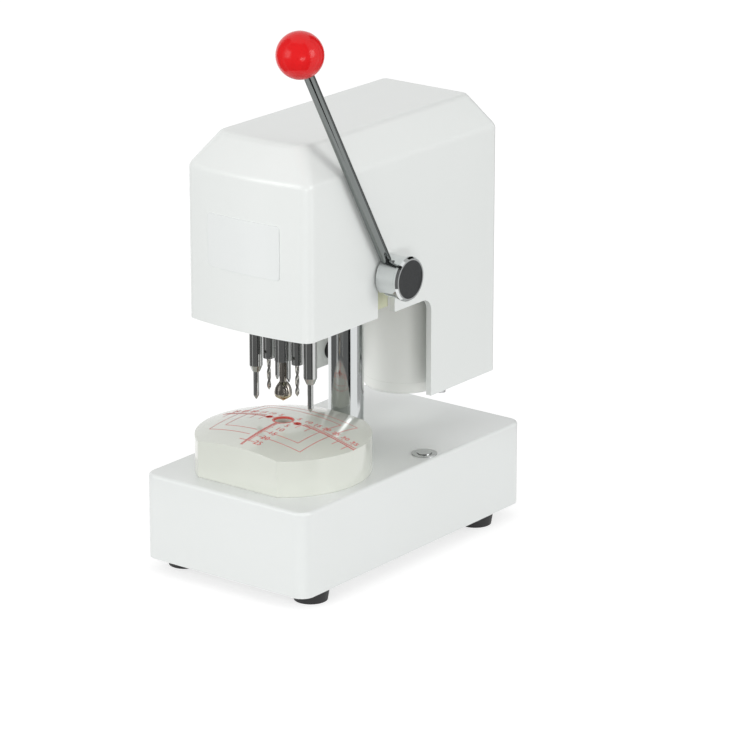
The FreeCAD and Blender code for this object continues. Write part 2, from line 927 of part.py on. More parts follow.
def frame_plate():
    main = rounded_block(
        -frame_plate_half_width,
        frame_plate_half_width,
        frame_plate_front_y,
        frame_plate_rear_y,
        plate_bottom_z,
        plate_top_z,
        frame_plate_corner,
        frame_plate_corner,
    )
    reach = hanger_x()
    ears_front = hanger_y - hanger_half_length
    ears_rear = hanger_y + hanger_half_length
    ears = block(-reach, reach, ears_front, ears_rear, plate_bottom_z, plate_top_z)
    holes = [
        rod_z(column_radius + open_gap / 2, plate_bottom_z, plate_top_z, 0, column_y),
        rod_z(spindle_radius + open_gap, plate_bottom_z, plate_top_z, 0, row_y),
        rod_z(motor_shaft_radius + open_gap, plate_bottom_z, plate_top_z, 0, motor_y),
    ]
    holes += [rod_z(frame_screw_radius, plate_bottom_z, plate_top_z, x, y) for x, y in plate_screw_points()]
    return join([main, ears]).cut(holes)


def bracket_screw_points():
    # The upper ones stay below the ends of the screws that come down through the frame plate.
    inset = frame_head_radius + bracket_margin
    low = carriage_bottom_z + inset
    high = plate_top_z - frame_screw_length - inset
    return [(y, z) for y in (carriage_front_y + inset, carriage_rear_y - inset / 2) for z in (low, high)]


def frame_screws():
    made = [placed(frame_screw(), x, y, plate_top_z) for x, y in plate_screw_points()]
    sideways = frame_screw()
    sideways.rotate(V(0, 0, 0), V(0, 1, 0), 90)
    seat = carriage_half_width + bracket_flange
    made += [placed(sideways, seat, y, z) for y, z in bracket_screw_points()]
    return Part.makeCompound(made)


def carriage():
    body = block(
        -carriage_half_width,
        carriage_half_width,
        carriage_front_y,
        carriage_rear_y,
        carriage_bottom_z,
        carriage_top_z,
    )
    pocket_half = pinion_width / 2 + pinion_side_gap
    pocket = block(
        -pocket_half,
        pocket_half,
        carriage_front_y,
        column_y,
        lever_axis_z - pinion_tip_radius - open_gap,
        lever_axis_z + pinion_tip_radius + open_gap,
    )
    holes = [
        rod_z(bush_outer_radius, carriage_bottom_z, carriage_top_z, 0, column_y),
        pocket,
        rod_x(shaft_bush_radius, -carriage_half_width, carriage_half_width, lever_axis_y, lever_axis_z),
    ]
    for x, y in carriage_screw_points():
        holes.append(rod_z(frame_screw_radius, plate_top_z - frame_screw_length, carriage_top_z, x, y))
    seat = carriage_half_width + bracket_flange
    for y, z in bracket_screw_points():
        holes.append(rod_x(frame_screw_radius, seat - frame_screw_length, carriage_half_width, y, z))
    return body.cut(holes)


def column_bushes():
    bore = column_radius + running_gap
    low = tube_z(
        bush_outer_radius, bore, carriage_bottom_z, carriage_bottom_z + column_bush_length, 0, column_y
    )
    high = tube_z(bush_outer_radius, bore, carriage_top_z - column_bush_length, carriage_top_z, 0, column_y)
    return Part.makeCompound([low, high])


def shaft_bushes():
    # One bush in each cheek of the carriage and one in the outer bracket.
    bore = shaft_radius + running_gap
    inner = pinion_width / 2 + pinion_side_gap
    spans = [
        (-carriage_half_width, -inner),
        (inner, carriage_half_width),
        (carriage_half_width + bracket_flange, bracket_face_x),
    ]
    made = [tube_x(shaft_bush_radius, bore, x0, x1, lever_axis_y, lever_axis_z) for x0, x1 in spans]
    column_way = rod_z(bush_outer_radius, carriage_bottom_z, carriage_top_z, 0, column_y)
    return Part.makeCompound([bush.cut(column_way) for bush in made])


def shaft_bracket():
    inner = carriage_half_width
    outer = inner + bracket_flange
    low = carriage_bottom_z + bracket_margin
    high = carriage_top_z - bracket_margin
    flange = block(inner, outer, carriage_front_y, carriage_rear_y, low, high)
    boss = rod_x(bracket_boss_radius, outer, bracket_face_x, lever_axis_y, lever_axis_z)
    web = block(
        bracket_face_x - bracket_web,
        bracket_face_x,
        lever_axis_y - bracket_web_half_width,
        lever_axis_y + bracket_web_half_width,
        low,
        lever_axis_z,
    )
    rib_front = lever_axis_y - bracket_web / 2
    rib = block(outer, bracket_face_x, rib_front, rib_front + bracket_web, low, lever_axis_z)
    holes = [rod_x(shaft_bush_radius, inner, bracket_face_x, lever_axis_y, lever_axis_z)]
    holes += [rod_x(frame_screw_radius, inner, outer, y, z) for y, z in bracket_screw_points()]
    return join([flange, boss, web, rib]).cut(holes)


# The spindle group


def gear_top_z():
    return gear_bottom_z + gear_width


def cavity_radius():
    return spindle_gap / 2 + gear_module + gear_tip_gap


def gearbox_housing():
    body = block(
        -gearbox_half_width,
        gearbox_half_width,
        gearbox_front_y,
        carriage_front_y,
        carriage_bottom_z,
        gearbox_top_z,
    )
    cavity_bottom = gear_bottom_z - gear_end_gap
    bush_top = spindle_bush_bottom_z + spindle_bush_length
    centre_outer = spindle_radius + running_gap + spindle_bush_wall
    side_outer = holder_radius + running_gap + spindle_bush_wall
    holes = [
        rod_z(sleeve_radius, carriage_bottom_z, carriage_bottom_z + sleeve_seat, 0, row_y),
        rod_z(spindle_radius + open_gap / 2, carriage_bottom_z, cavity_bottom, 0, row_y),
        rod_z(centre_outer, spindle_bush_bottom_z, bush_top, 0, row_y),
        rod_z(cavity_radius(), cavity_bottom, gearbox_top_z, 0, row_y),
    ]
    for side in (-1, 1):
        x = side * spindle_gap
        holes.append(rod_z(holder_radius + open_gap / 2, carriage_bottom_z, cavity_bottom, x, row_y))
        holes.append(rod_z(side_outer, spindle_bush_bottom_z, bush_top, x, row_y))
        holes.append(rod_z(cavity_radius(), cavity_bottom, gearbox_top_z, x, row_y))
        holes.append(rod_z(barrel_radius, carriage_bottom_z, barrel_top_z, side * pin_offset, row_y))
    for x, y in gearbox_screw_points():
        holes.append(rod_z(frame_screw_radius, plate_top_z - frame_screw_length, gearbox_top_z, x, y))
    return body.cut(holes)


def upper_block():
    body = block(
        -gearbox_half_width,
        gearbox_half_width,
        gearbox_front_y,
        carriage_front_y,
        gearbox_top_z,
        carriage_top_z,
    )
    bearing_top = gearbox_top_z + upper_bearing_width
    holes = [
        rod_z(upper_bearing_radius, gearbox_top_z, bearing_top, 0, row_y),
        rod_z(spindle_radius + open_gap, gearbox_top_z, carriage_top_z, 0, row_y),
    ]
    neck_bush = holder_neck_radius + running_gap + upper_bush_wall
    for x in (-spindle_gap, spindle_gap):
        holes.append(rod_z(neck_bush, gearbox_top_z, bearing_top, x, row_y))
    for x, y in gearbox_screw_points():
        holes.append(rod_z(frame_screw_radius, gearbox_top_z, carriage_top_z, x, y))
    return body.cut(holes)


def spindle_bushes():
    top = spindle_bush_bottom_z + spindle_bush_length
    made = []
    centre_bore = spindle_radius + running_gap
    made.append(tube_z(centre_bore + spindle_bush_wall, centre_bore, spindle_bush_bottom_z, top, 0, row_y))
    side_bore = holder_radius + running_gap
    for x in (-spindle_gap, spindle_gap):
        made.append(tube_z(side_bore + spindle_bush_wall, side_bore, spindle_bush_bottom_z, top, x, row_y))
    return Part.makeCompound(made)


def upper_bearings():
    top = gearbox_top_z + upper_bearing_width
    centre_bore = spindle_radius + running_gap
    made = [tube_z(upper_bearing_radius, centre_bore, gearbox_top_z, top, 0, row_y)]
    neck_bore = holder_neck_radius + running_gap
    for x in (-spindle_gap, spindle_gap):
        made.append(tube_z(neck_bore + upper_bush_wall, neck_bore, gearbox_top_z, top, x, row_y))
    return Part.makeCompound(made)


def guard_sleeve():
    # A tube round the centre spindle whose wall runs down into two pointed tangs.
    top = carriage_bottom_z + sleeve_seat
    tube = tube_z(sleeve_radius, sleeve_bore_radius, tang_tip_z, top, 0, row_y)
    reach = sleeve_radius + open_gap
    lower = block(-reach, reach, row_y - reach, row_y + reach, tang_tip_z, sleeve_bottom_z)
    half = tang_width / 2
    corners = [
        V(0, 0, tang_tip_z),
        V(0, half, tang_tip_z + 2 * half),
        V(0, half, sleeve_bottom_z),
        V(0, -half, sleeve_bottom_z),
        V(0, -half, tang_tip_z + 2 * half),
    ]
    tang = Part.Face(Part.makePolygon(corners + [corners[0]])).extrude(V(2 * reach, 0, 0))
    tang.translate(V(-reach, row_y, 0))
    return tube.cut(lower.cut(tang))


def gear_at(x, phase):
    gear = gear_face(gear_module, spindle_teeth, gear_backlash).extrude(V(0, 0, gear_width))
    gear.rotate(V(0, 0, 0), V(0, 0, 1), phase)
    gear.translate(V(x, row_y, gear_bottom_z))
    return gear


def spindle_shaft():
    shaft = rod_z(spindle_radius, spindle_bottom_z, pulley_top_z + open_gap, 0, row_y)
    return shaft.cut(rod_z(cutter_shank_radius, spindle_bottom_z, spindle_bottom_z + cutter_seat, 0, row_y))


def centre_gear():
    return gear_at(0.0, 0.0).cut(rod_z(spindle_radius, gear_bottom_z, gear_top_z(), 0, row_y))


def centre_cutter():
    # A ball-shaped spade bit on a straight shank, with two flats scooped out beside its edges.
    profile = [(radius, cutter_tip_z + height) for radius, height in cutter_profile]
    profile += [
        (cutter_shank_radius, cutter_top_z),
        (cutter_shank_radius, spindle_bottom_z + cutter_seat),
        (0, spindle_bottom_z + cutter_seat),
    ]
    body = revolve_profile(profile, 0, row_y)
    scoops = []
    reach = cutter_radius + open_gap
    scoop_bottom = cutter_tip_z - open_gap
    scoop_top = cutter_top_z - open_gap
    for side in (-1, 1):
        y0, y1 = sorted((side * cutter_notch, side * reach))
        x0, x1 = sorted((0.0, side * reach))
        scoops.append(block(x0, x1, row_y + y0, row_y + y1, scoop_bottom, scoop_top))
    return body.cut(scoops)


def side_spindle(x):
    lower = rod_z(holder_radius, holder_bottom_z, holder_neck_z, x, row_y)
    neck_top = gearbox_top_z + upper_bearing_width
    neck = rod_z(holder_neck_radius, holder_neck_z, neck_top, x, row_y)
    phase = 180.0 / spindle_teeth if spindle_teeth % 2 == 0 else 0.0
    spindle = join([lower, neck, gear_at(x, phase)])
    socket = rod_z(drill_radius, holder_bottom_z, holder_bottom_z + drill_seat, x, row_y)
    screw_hole = rod_y(holder_screw_radius, row_y - holder_radius, row_y, x, holder_screw_z)
    return spindle.cut([socket, screw_hole])


def twist_bit(x):
    # Two helical flutes are swept out of a pointed rod.
    top = holder_bottom_z + drill_seat
    point_top = drill_tip_z + drill_point
    rod = rod_z(drill_radius, point_top, top, x, row_y)
    point = cone_z(0, drill_radius, drill_tip_z, point_top, x, row_y)
    bit = join([rod, point])
    flute_height = holder_bottom_z - drill_tip_z - open_gap
    helix = Part.makeHelix(flute_height / flute_turns, flute_height, drill_radius)
    section = Part.Wire(Part.makeCircle(flute_depth, V(drill_radius, 0, 0), V(0, 1, 0)))
    flute = Part.Wire(helix.Edges).makePipeShell([section], True, True)
    second = flute.copy()
    second.rotate(V(0, 0, 0), V(0, 0, 1), 180)
    return bit.cut([placed(flute, x, row_y, drill_tip_z), placed(second, x, row_y, drill_tip_z)])


# The hold-down pins


def pin_barrel(x):
    body = rod_z(barrel_radius, barrel_bottom_z, barrel_top_z, x, row_y)
    nose = cone_z(barrel_nose_radius, barrel_radius, barrel_nose_z, barrel_bottom_z, x, row_y)
    barrel = join([body, nose])
    guide = rod_z(pin_radius + running_gap, barrel_nose_z, pin_shoulder_z, x, row_y)
    chamber = rod_z(barrel_bore_radius, pin_shoulder_z, barrel_top_z - barrel_plug, x, row_y)
    return barrel.cut([guide, chamber])


def hold_pin(x):
    tip = cone_z(pin_tip_radius, pin_radius, pin_tip_z, pin_tip_z + pin_point, x, row_y)
    shank = rod_z(pin_radius, pin_tip_z + pin_point, pin_shoulder_z, x, row_y)
    head_radius = barrel_bore_radius - 2 * running_gap
    head = rod_z(head_radius, pin_shoulder_z, pin_shoulder_z + pin_head_height, x, row_y)
    return join([tip, shank, head])


def pin_spring(x):
    radius = barrel_bore_radius - pin_spring_wire / 2 - 2 * running_gap
    low = pin_shoulder_z + pin_head_height
    return coil(pin_spring_wire, radius, pin_spring_turns, low, barrel_top_z - barrel_plug, x, row_y)


# The belt drive and motor


def pulley(radius, shaft, y):
    lip = radius + pulley_lip
    thin = pulley_lip_thickness
    body = rod_z(radius, belt_bottom_z, pulley_top_z, 0, y)
    low = rod_z(lip, belt_bottom_z, belt_bottom_z + thin, 0, y)
    high = rod_z(lip, pulley_top_z - thin, pulley_top_z, 0, y)
    return join([body, low, high]).cut(rod_z(shaft, belt_bottom_z, pulley_top_z, 0, y))


def belt_outline(extra, z):
    # The straight runs touch both pulleys, so they lean by the angle between the two radii.
    front = spindle_pulley_radius + pass_gap + extra
    rear = motor_pulley_radius + pass_gap + extra
    span = motor_y - row_y
    lean = math.asin((front - rear) / span)
    edges = []
    points = {}
    for side in (-1, 1):
        for name, radius, y in (("front", front, row_y), ("rear", rear, motor_y)):
            points[(side, name)] = V(side * radius * math.cos(lean), y + radius * math.sin(lean), z)
    edges.append(Part.makeLine(points[(1, "front")], points[(1, "rear")]))
    edges.append(Part.Arc(points[(1, "rear")], V(0, motor_y + rear, z), points[(-1, "rear")]).toShape())
    edges.append(Part.makeLine(points[(-1, "rear")], points[(-1, "front")]))
    edges.append(Part.Arc(points[(-1, "front")], V(0, row_y - front, z), points[(1, "front")]).toShape())
    return Part.Face(Part.Wire(edges))


def drive_belt():
    low = belt_bottom_z + pulley_lip_thickness + belt_side_gap
    height = pulley_width - 2 * (pulley_lip_thickness + belt_side_gap)
    outer = belt_outline(belt_thickness, low).extrude(V(0, 0, height))
    inner = belt_outline(0.0, low).extrude(V(0, 0, height))
    return outer.cut(inner)


def motor_can_span():
    return motor_bottom_z + motor_cap_height, motor_top_z - motor_top_cap_height


def motor_can():
    low, high = motor_can_span()
    body = rod_z(motor_radius, low, high, 0, motor_y)
    band = rod_z(motor_radius + motor_band_rise, motor_band_z, high, 0, motor_y)
    return join([body, band]).cut(rod_z(motor_shaft_radius + open_gap, low, high, 0, motor_y))


def motor_bottom_cap():
    low = motor_can_span()[0]
    cap = rod_z(motor_radius, motor_bottom_z, low, 0, motor_y)
    cap = cap.makeFillet(motor_cap_edge, edges_at_z(cap, motor_bottom_z))
    bore_bottom = motor_bottom_z + motor_cap_edge
    return cap.cut(rod_z(motor_shaft_radius + running_gap, bore_bottom, low, 0, motor_y))


def motor_top_cap():
    high = motor_can_span()[1]
    cap = rod_z(motor_radius, high, motor_top_z, 0, motor_y)
    holes = [rod_z(motor_shaft_radius + running_gap, high, motor_top_z, 0, motor_y)]
    for x, y in motor_screw_points():
        holes.append(rod_z(frame_screw_radius, plate_top_z - frame_screw_length, motor_top_z, x, y))
    return cap.cut(holes)


def motor_shaft():
    bottom = motor_bottom_z + 2 * motor_cap_edge
    return rod_z(motor_shaft_radius, bottom, pulley_top_z + open_gap, 0, motor_y)


# The lever and its shaft


def pinion_gear():
    gear = gear_face(rack_module, pinion_teeth, tooth_backlash).extrude(V(0, 0, pinion_width))
    gear.rotate(V(0, 0, 0), V(0, 0, 1), -90)
    gear.rotate(V(0, 0, 0), V(0, 1, 0), 90)
    gear.rotate(V(0, 0, 0), V(1, 0, 0), 90)
    gear.translate(V(-pinion_width / 2, lever_axis_y, lever_axis_z))
    return gear.cut(rod_x(shaft_radius, -pinion_width / 2, pinion_width / 2, lever_axis_y, lever_axis_z))


def clip_x():
    return -carriage_half_width - pass_gap - circlip_thickness


def pinion_shaft():
    shaft = rod_x(shaft_radius, shaft_left_x, hub_inner_x + hub_bore_depth, lever_axis_y, lever_axis_z)
    low = clip_x()
    groove_radius = shaft_radius - circlip_depth
    groove = tube_x(
        shaft_radius, groove_radius, low, low + circlip_thickness, lever_axis_y, lever_axis_z
    )
    return shaft.cut(groove)


def shaft_circlip():
    ring = tube_x(
        shaft_radius + circlip_rim,
        shaft_radius - circlip_depth,
        clip_x(),
        clip_x() + circlip_thickness,
        lever_axis_y,
        lever_axis_z,
    )
    mouth = block(
        clip_x(),
        clip_x() + circlip_thickness,
        lever_axis_y - circlip_mouth_half_width,
        lever_axis_y + circlip_mouth_half_width,
        lever_axis_z - shaft_radius - circlip_rim,
        lever_axis_z,
    )
    return ring.cut(mouth)


def along_rod(distance):
    return lever_axis_point + rod_direction * distance


def hub_screw_start():
    return V(hub_screw_x, lever_axis_y, lever_axis_z) + rod_direction * shaft_radius


def hub_screw_hole():
    return Part.makeCylinder(hub_screw_radius, hub_radius, hub_screw_start(), rod_direction)


def lever_hub():
    # A plain drum with a raised rim that is bevelled towards its outer face.
    rim_x = hub_outer_x - hub_rim_width
    profile = [
        (hub_inner_x, 0),
        (hub_inner_x, hub_radius - hub_edge),
        (hub_inner_x + hub_edge, hub_radius),
        (rim_x - hub_rim_slope, hub_radius),
        (rim_x, hub_rim_radius),
        (hub_outer_x - hub_rim_width / 2, hub_rim_radius),
        (hub_outer_x, hub_face_radius),
        (hub_outer_x, 0),
    ]
    corners = [V(x, lever_axis_y + radius, lever_axis_z) for x, radius in profile]
    wire = Part.makePolygon(corners + [corners[0]])
    body = Part.Face(wire).revolve(V(0, lever_axis_y, lever_axis_z), V(1, 0, 0), 360)
    holes = [
        rod_x(shaft_radius, hub_inner_x, hub_inner_x + hub_bore_depth, lever_axis_y, lever_axis_z),
        rod_x(hub_cap_radius, hub_outer_x - hub_cap_thickness, hub_outer_x, lever_axis_y, lever_axis_z),
        Part.makeCylinder(lever_rod_radius, hub_radius, along_rod(rod_seat_radius), rod_direction),
        hub_screw_hole(),
    ]
    return body.cut(holes)


def hub_cap():
    outer = hub_outer_x - hub_cap_rise
    return rod_x(hub_cap_radius, hub_outer_x - hub_cap_thickness, outer, lever_axis_y, lever_axis_z)


def hub_set_screw():
    depth = hub_radius - shaft_radius - open_gap
    body = Part.makeCylinder(hub_screw_radius, depth, hub_screw_start(), rod_direction)
    socket_start = hub_screw_start() + rod_direction * (depth / 2)
    return body.cut(Part.makeCylinder(hub_screw_radius * socket_share, depth, socket_start, rod_direction))


def lever_rod():
    length = lever_length - knob_radius + knob_socket_depth - rod_seat_radius
    return Part.makeCylinder(lever_rod_radius, length, along_rod(rod_seat_radius), rod_direction)


def lever_knob():
    ball = Part.makeSphere(knob_radius, along_rod(lever_length))
    neck_start = lever_length - knob_radius * math.cos(math.asin(knob_neck_radius / knob_radius))
    trim = Part.makeCylinder(knob_radius, knob_radius, along_rod(neck_start), rod_direction * -1)
    socket = Part.makeCylinder(
        lever_rod_radius, knob_socket_depth, along_rod(lever_length - knob_radius), rod_direction
    )
    return ball.cut([trim, socket])


def write(name, shape):
    shape.exportStep("parts/" + name + ".step")


def main():
    os.makedirs("parts", exist_ok=True)
    nodes = {
        "base_housing": base_housing(),
        "bottom_plate": bottom_plate(),
        "rubber_feet": feet(),
        "base_screws": base_screws(),
        "column_flange": column_flange(),
        "flange_bolts": flange_bolts(),
        "column": column(),
        "rack_bar": rack_bar(),
        "rack_screws": rack_screws(),
        "stop_collar": stop_collar(),
        "return_spring": return_spring(),
        "work_pad": work_pad(),
        "pad_insert": pad_insert(),
        "insert_support": insert_support(),
        "switch_bezel": switch_bezel(),
        "switch_nut": switch_nut(),
        "button_cap": button_cap(),
        "head_cover": cover(),
        "label_plate": label_plate(),
        "cord_grommet": cord_grommet(),
        "cover_screws": cover_screws(),
        "cover_hangers": cover_hangers(),
        "frame_plate": frame_plate(),
        "frame_screws": frame_screws(),
        "carriage": carriage(),
        "column_bushes": column_bushes(),
        "shaft_bushes": shaft_bushes(),
        "shaft_bracket": shaft_bracket(),
        "gearbox_housing": gearbox_housing(),
        "upper_block": upper_block(),
        "spindle_bushes": spindle_bushes(),
        "upper_bearings": upper_bearings(),
        "guard_sleeve": guard_sleeve(),
        "pin_barrels": Part.makeCompound([pin_barrel(-pin_offset), pin_barrel(pin_offset)]),
        "left_pin_spring": pin_spring(-pin_offset),
        "right_pin_spring": pin_spring(pin_offset),
        "left_hold_pin": hold_pin(-pin_offset),
        "right_hold_pin": hold_pin(pin_offset),
        "spindle_shaft": spindle_shaft(),
        "spindle_pulley": pulley(spindle_pulley_radius, spindle_radius, row_y),
        "centre_gear": centre_gear(),
        "centre_cutter": centre_cutter(),
        "left_spindle": side_spindle(-spindle_gap),
        "right_spindle": side_spindle(spindle_gap),
        "left_drill_bit": twist_bit(-spindle_gap),
        "right_drill_bit": twist_bit(spindle_gap),
        "drive_belt": drive_belt(),
        "motor_can": motor_can(),
        "motor_bottom_cap": motor_bottom_cap(),
        "motor_top_cap": motor_top_cap(),
        "motor_shaft": motor_shaft(),
        "motor_pulley": pulley(motor_pulley_radius, motor_shaft_radius, motor_y),
        "pinion_gear": pinion_gear(),
        "pinion_shaft": pinion_shaft(),
        "shaft_circlip": shaft_circlip(),
        "lever_hub": lever_hub(),
        "hub_cap": hub_cap(),
        "hub_set_screw": hub_set_screw(),
        "lever_rod": lever_rod(),
        "lever_knob": lever_knob(),
    }
    for name, shape in nodes.items():
        write(name, shape)
        print(name, len(shape.Solids), shape.isValid(), round(shape.Volume))


main()
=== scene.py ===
import math

import bmesh
import bpy
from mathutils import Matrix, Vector


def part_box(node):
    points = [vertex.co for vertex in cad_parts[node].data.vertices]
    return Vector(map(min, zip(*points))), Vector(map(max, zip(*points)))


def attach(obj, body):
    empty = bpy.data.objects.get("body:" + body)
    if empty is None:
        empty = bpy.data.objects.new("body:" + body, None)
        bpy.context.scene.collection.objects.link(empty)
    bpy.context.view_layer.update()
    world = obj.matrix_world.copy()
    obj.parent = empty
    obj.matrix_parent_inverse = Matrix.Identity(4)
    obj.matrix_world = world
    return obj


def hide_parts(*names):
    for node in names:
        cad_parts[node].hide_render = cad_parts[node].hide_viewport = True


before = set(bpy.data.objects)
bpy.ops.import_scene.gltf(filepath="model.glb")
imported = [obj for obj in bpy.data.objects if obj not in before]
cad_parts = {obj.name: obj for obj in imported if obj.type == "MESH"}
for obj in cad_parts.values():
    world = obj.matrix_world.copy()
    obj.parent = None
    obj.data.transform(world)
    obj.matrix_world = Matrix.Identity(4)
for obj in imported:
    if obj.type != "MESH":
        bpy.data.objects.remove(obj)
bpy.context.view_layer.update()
print("frame loaded:", len(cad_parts), "nodes")

mm = 0.001
noiseDetail = {"drift": 4.0, "dustAndSheen": 6.0}
bevelSamples = {"softened": 6, "edge": 4}


# Shader building blocks

def addNode(tree, kind, **settings):
    node = tree.nodes.new(kind)
    for key, value in settings.items():
        setattr(node, key, value)
    return node


def groupTree(name, inputs, outputs):
    tree = bpy.data.node_groups.new(name, "ShaderNodeTree")
    for label, value in inputs.items():
        socket = tree.interface.new_socket(name=label, in_out="INPUT", socket_type="NodeSocketFloat")
        socket.default_value = value
    for label, kind in outputs.items():
        tree.interface.new_socket(name=label, in_out="OUTPUT", socket_type=kind)
    entry = addNode(tree, "NodeGroupInput")
    leave = addNode(tree, "NodeGroupOutput")
    return tree, entry, leave


def buildGrain(softened):
    # a fine surface unevenness as a normal, and the same noise as a mask
    tree, entry, leave = groupTree(
        "softGrain" if softened else "surfaceGrain",
        {"Scale": 800.0, "Detail": 3.0, "Strength": 0.05, "Depth": 0.0002, "Round": 0.001},
        {"Normal": "NodeSocketVector", "Mask": "NodeSocketFloat"},
    )
    place = addNode(tree, "ShaderNodeTexCoord")
    noise = addNode(tree, "ShaderNodeTexNoise")
    bump = addNode(tree, "ShaderNodeBump")
    tree.links.new(place.outputs["Object"], noise.inputs["Vector"])
    tree.links.new(entry.outputs["Scale"], noise.inputs["Scale"])
    tree.links.new(entry.outputs["Detail"], noise.inputs["Detail"])
    tree.links.new(entry.outputs["Strength"], bump.inputs["Strength"])
    tree.links.new(entry.outputs["Depth"], bump.inputs["Distance"])
    tree.links.new(noise.outputs["Fac"], bump.inputs["Height"])
    if softened:  # edges read as slightly rounded
        bevel = addNode(tree, "ShaderNodeBevel", samples=bevelSamples["softened"])
        tree.links.new(entry.outputs["Round"], bevel.inputs["Radius"])
        tree.links.new(bevel.outputs["Normal"], bump.inputs["Normal"])
    tree.links.new(bump.outputs["Normal"], leave.inputs["Normal"])
    tree.links.new(noise.outputs["Fac"], leave.inputs["Mask"])
    return tree


def buildEdgeMask():
    # 1 on sharp edges and 0 on flats, broken up a little by noise
    tree, entry, leave = groupTree(
        "edgeMask", {"Radius": 0.001, "Gain": 6.0, "Breakup": 300.0}, {"Mask": "NodeSocketFloat"}
    )
    bevel = addNode(tree, "ShaderNodeBevel", samples=bevelSamples["edge"])
    shape = addNode(tree, "ShaderNodeNewGeometry")
    dot = addNode(tree, "ShaderNodeVectorMath", operation="DOT_PRODUCT")
    away = addNode(tree, "ShaderNodeMath", operation="SUBTRACT")
    gain = addNode(tree, "ShaderNodeMath", operation="MULTIPLY", use_clamp=True)
    place = addNode(tree, "ShaderNodeTexCoord")
    noise = addNode(tree, "ShaderNodeTexNoise")
    rough = addNode(tree, "ShaderNodeMath", operation="MULTIPLY", use_clamp=True)
    away.inputs[0].default_value = 1.0
    tree.links.new(entry.outputs["Radius"], bevel.inputs["Radius"])
    tree.links.new(bevel.outputs["Normal"], dot.inputs[0])
    tree.links.new(shape.outputs["Normal"], dot.inputs[1])
    tree.links.new(dot.outputs["Value"], away.inputs[1])
    tree.links.new(away.outputs["Value"], gain.inputs[0])
    tree.links.new(entry.outputs["Gain"], gain.inputs[1])
    tree.links.new(place.outputs["Object"], noise.inputs["Vector"])
    tree.links.new(entry.outputs["Breakup"], noise.inputs["Scale"])
    tree.links.new(gain.outputs["Value"], rough.inputs[0])
    tree.links.new(noise.outputs["Fac"], rough.inputs[1])
    tree.links.new(rough.outputs["Value"], leave.inputs["Mask"])
    return tree


def buildDust():
    # fine settled dust on the paints, and a painted highlight on the black rubber feet: more on faces that
    # look up, in soft patches
    tree, entry, leave = groupTree(
        "settledDustAndSheen", {"Scale": 60.0, "Amount": 0.1}, {"Mask": "NodeSocketFloat"}
    )
    shape = addNode(tree, "ShaderNodeNewGeometry")
    split = addNode(tree, "ShaderNodeSeparateXYZ")
    up = addNode(tree, "ShaderNodeMath", operation="MAXIMUM")
    place = addNode(tree, "ShaderNodeTexCoord")
    noise = addNode(tree, "ShaderNodeTexNoise")
    mask = addNode(tree, "ShaderNodeMath", operation="MULTIPLY")
    amount = addNode(tree, "ShaderNodeMath", operation="MULTIPLY", use_clamp=True)
    up.inputs[1].default_value = 0.0
    noise.inputs["Detail"].default_value = noiseDetail["dustAndSheen"]
    tree.links.new(shape.outputs["Normal"], split.inputs["Vector"])
    tree.links.new(split.outputs["Z"], up.inputs[0])
    tree.links.new(place.outputs["Object"], noise.inputs["Vector"])
    tree.links.new(entry.outputs["Scale"], noise.inputs["Scale"])
    tree.links.new(up.outputs["Value"], mask.inputs[0])
    tree.links.new(noise.outputs["Fac"], mask.inputs[1])
    tree.links.new(mask.outputs["Value"], amount.inputs[0])
    tree.links.new(entry.outputs["Amount"], amount.inputs[1])
    tree.links.new(amount.outputs["Value"], leave.inputs["Mask"])
    return tree


grainTree = buildGrain(False)
softGrainTree = buildGrain(True)
edgeTree = buildEdgeMask()
dustAndSheenTree = buildDust()


def useGroup(tree, group, **settings):
    node = addNode(tree, "ShaderNodeGroup")
    node.node_tree = group
    for key, value in settings.items():
        node.inputs[key].default_value = value
    return node


def mixColour(tree, factor, first, second):
    # first and second are output sockets or plain colours
    mix = addNode(tree, "ShaderNodeMix", data_type="RGBA")
    tree.links.new(factor, mix.inputs["Factor"])
    for socket, value in ((mix.inputs["A"], first), (mix.inputs["B"], second)):
        if isinstance(value, tuple):
            socket.default_value = (*value, 1.0)
        else:
            tree.links.new(value, socket)
    return mix.outputs["Result"]


def stretch(tree, value, low, high):
    span = addNode(tree, "ShaderNodeMapRange")
    span.inputs["To Min"].default_value = low
    span.inputs["To Max"].default_value = high
    tree.links.new(value, span.inputs["Value"])
    return span.outputs["Result"]


def shade(red, green, blue):
    # a colour written as it looks on a screen, 0 to 255
    def linear(value):
        part = value / 255
        return part / 12.92 if part <= 0.04045 else ((part + 0.055) / 1.055) ** 2.4

    return (linear(red), linear(green), linear(blue))


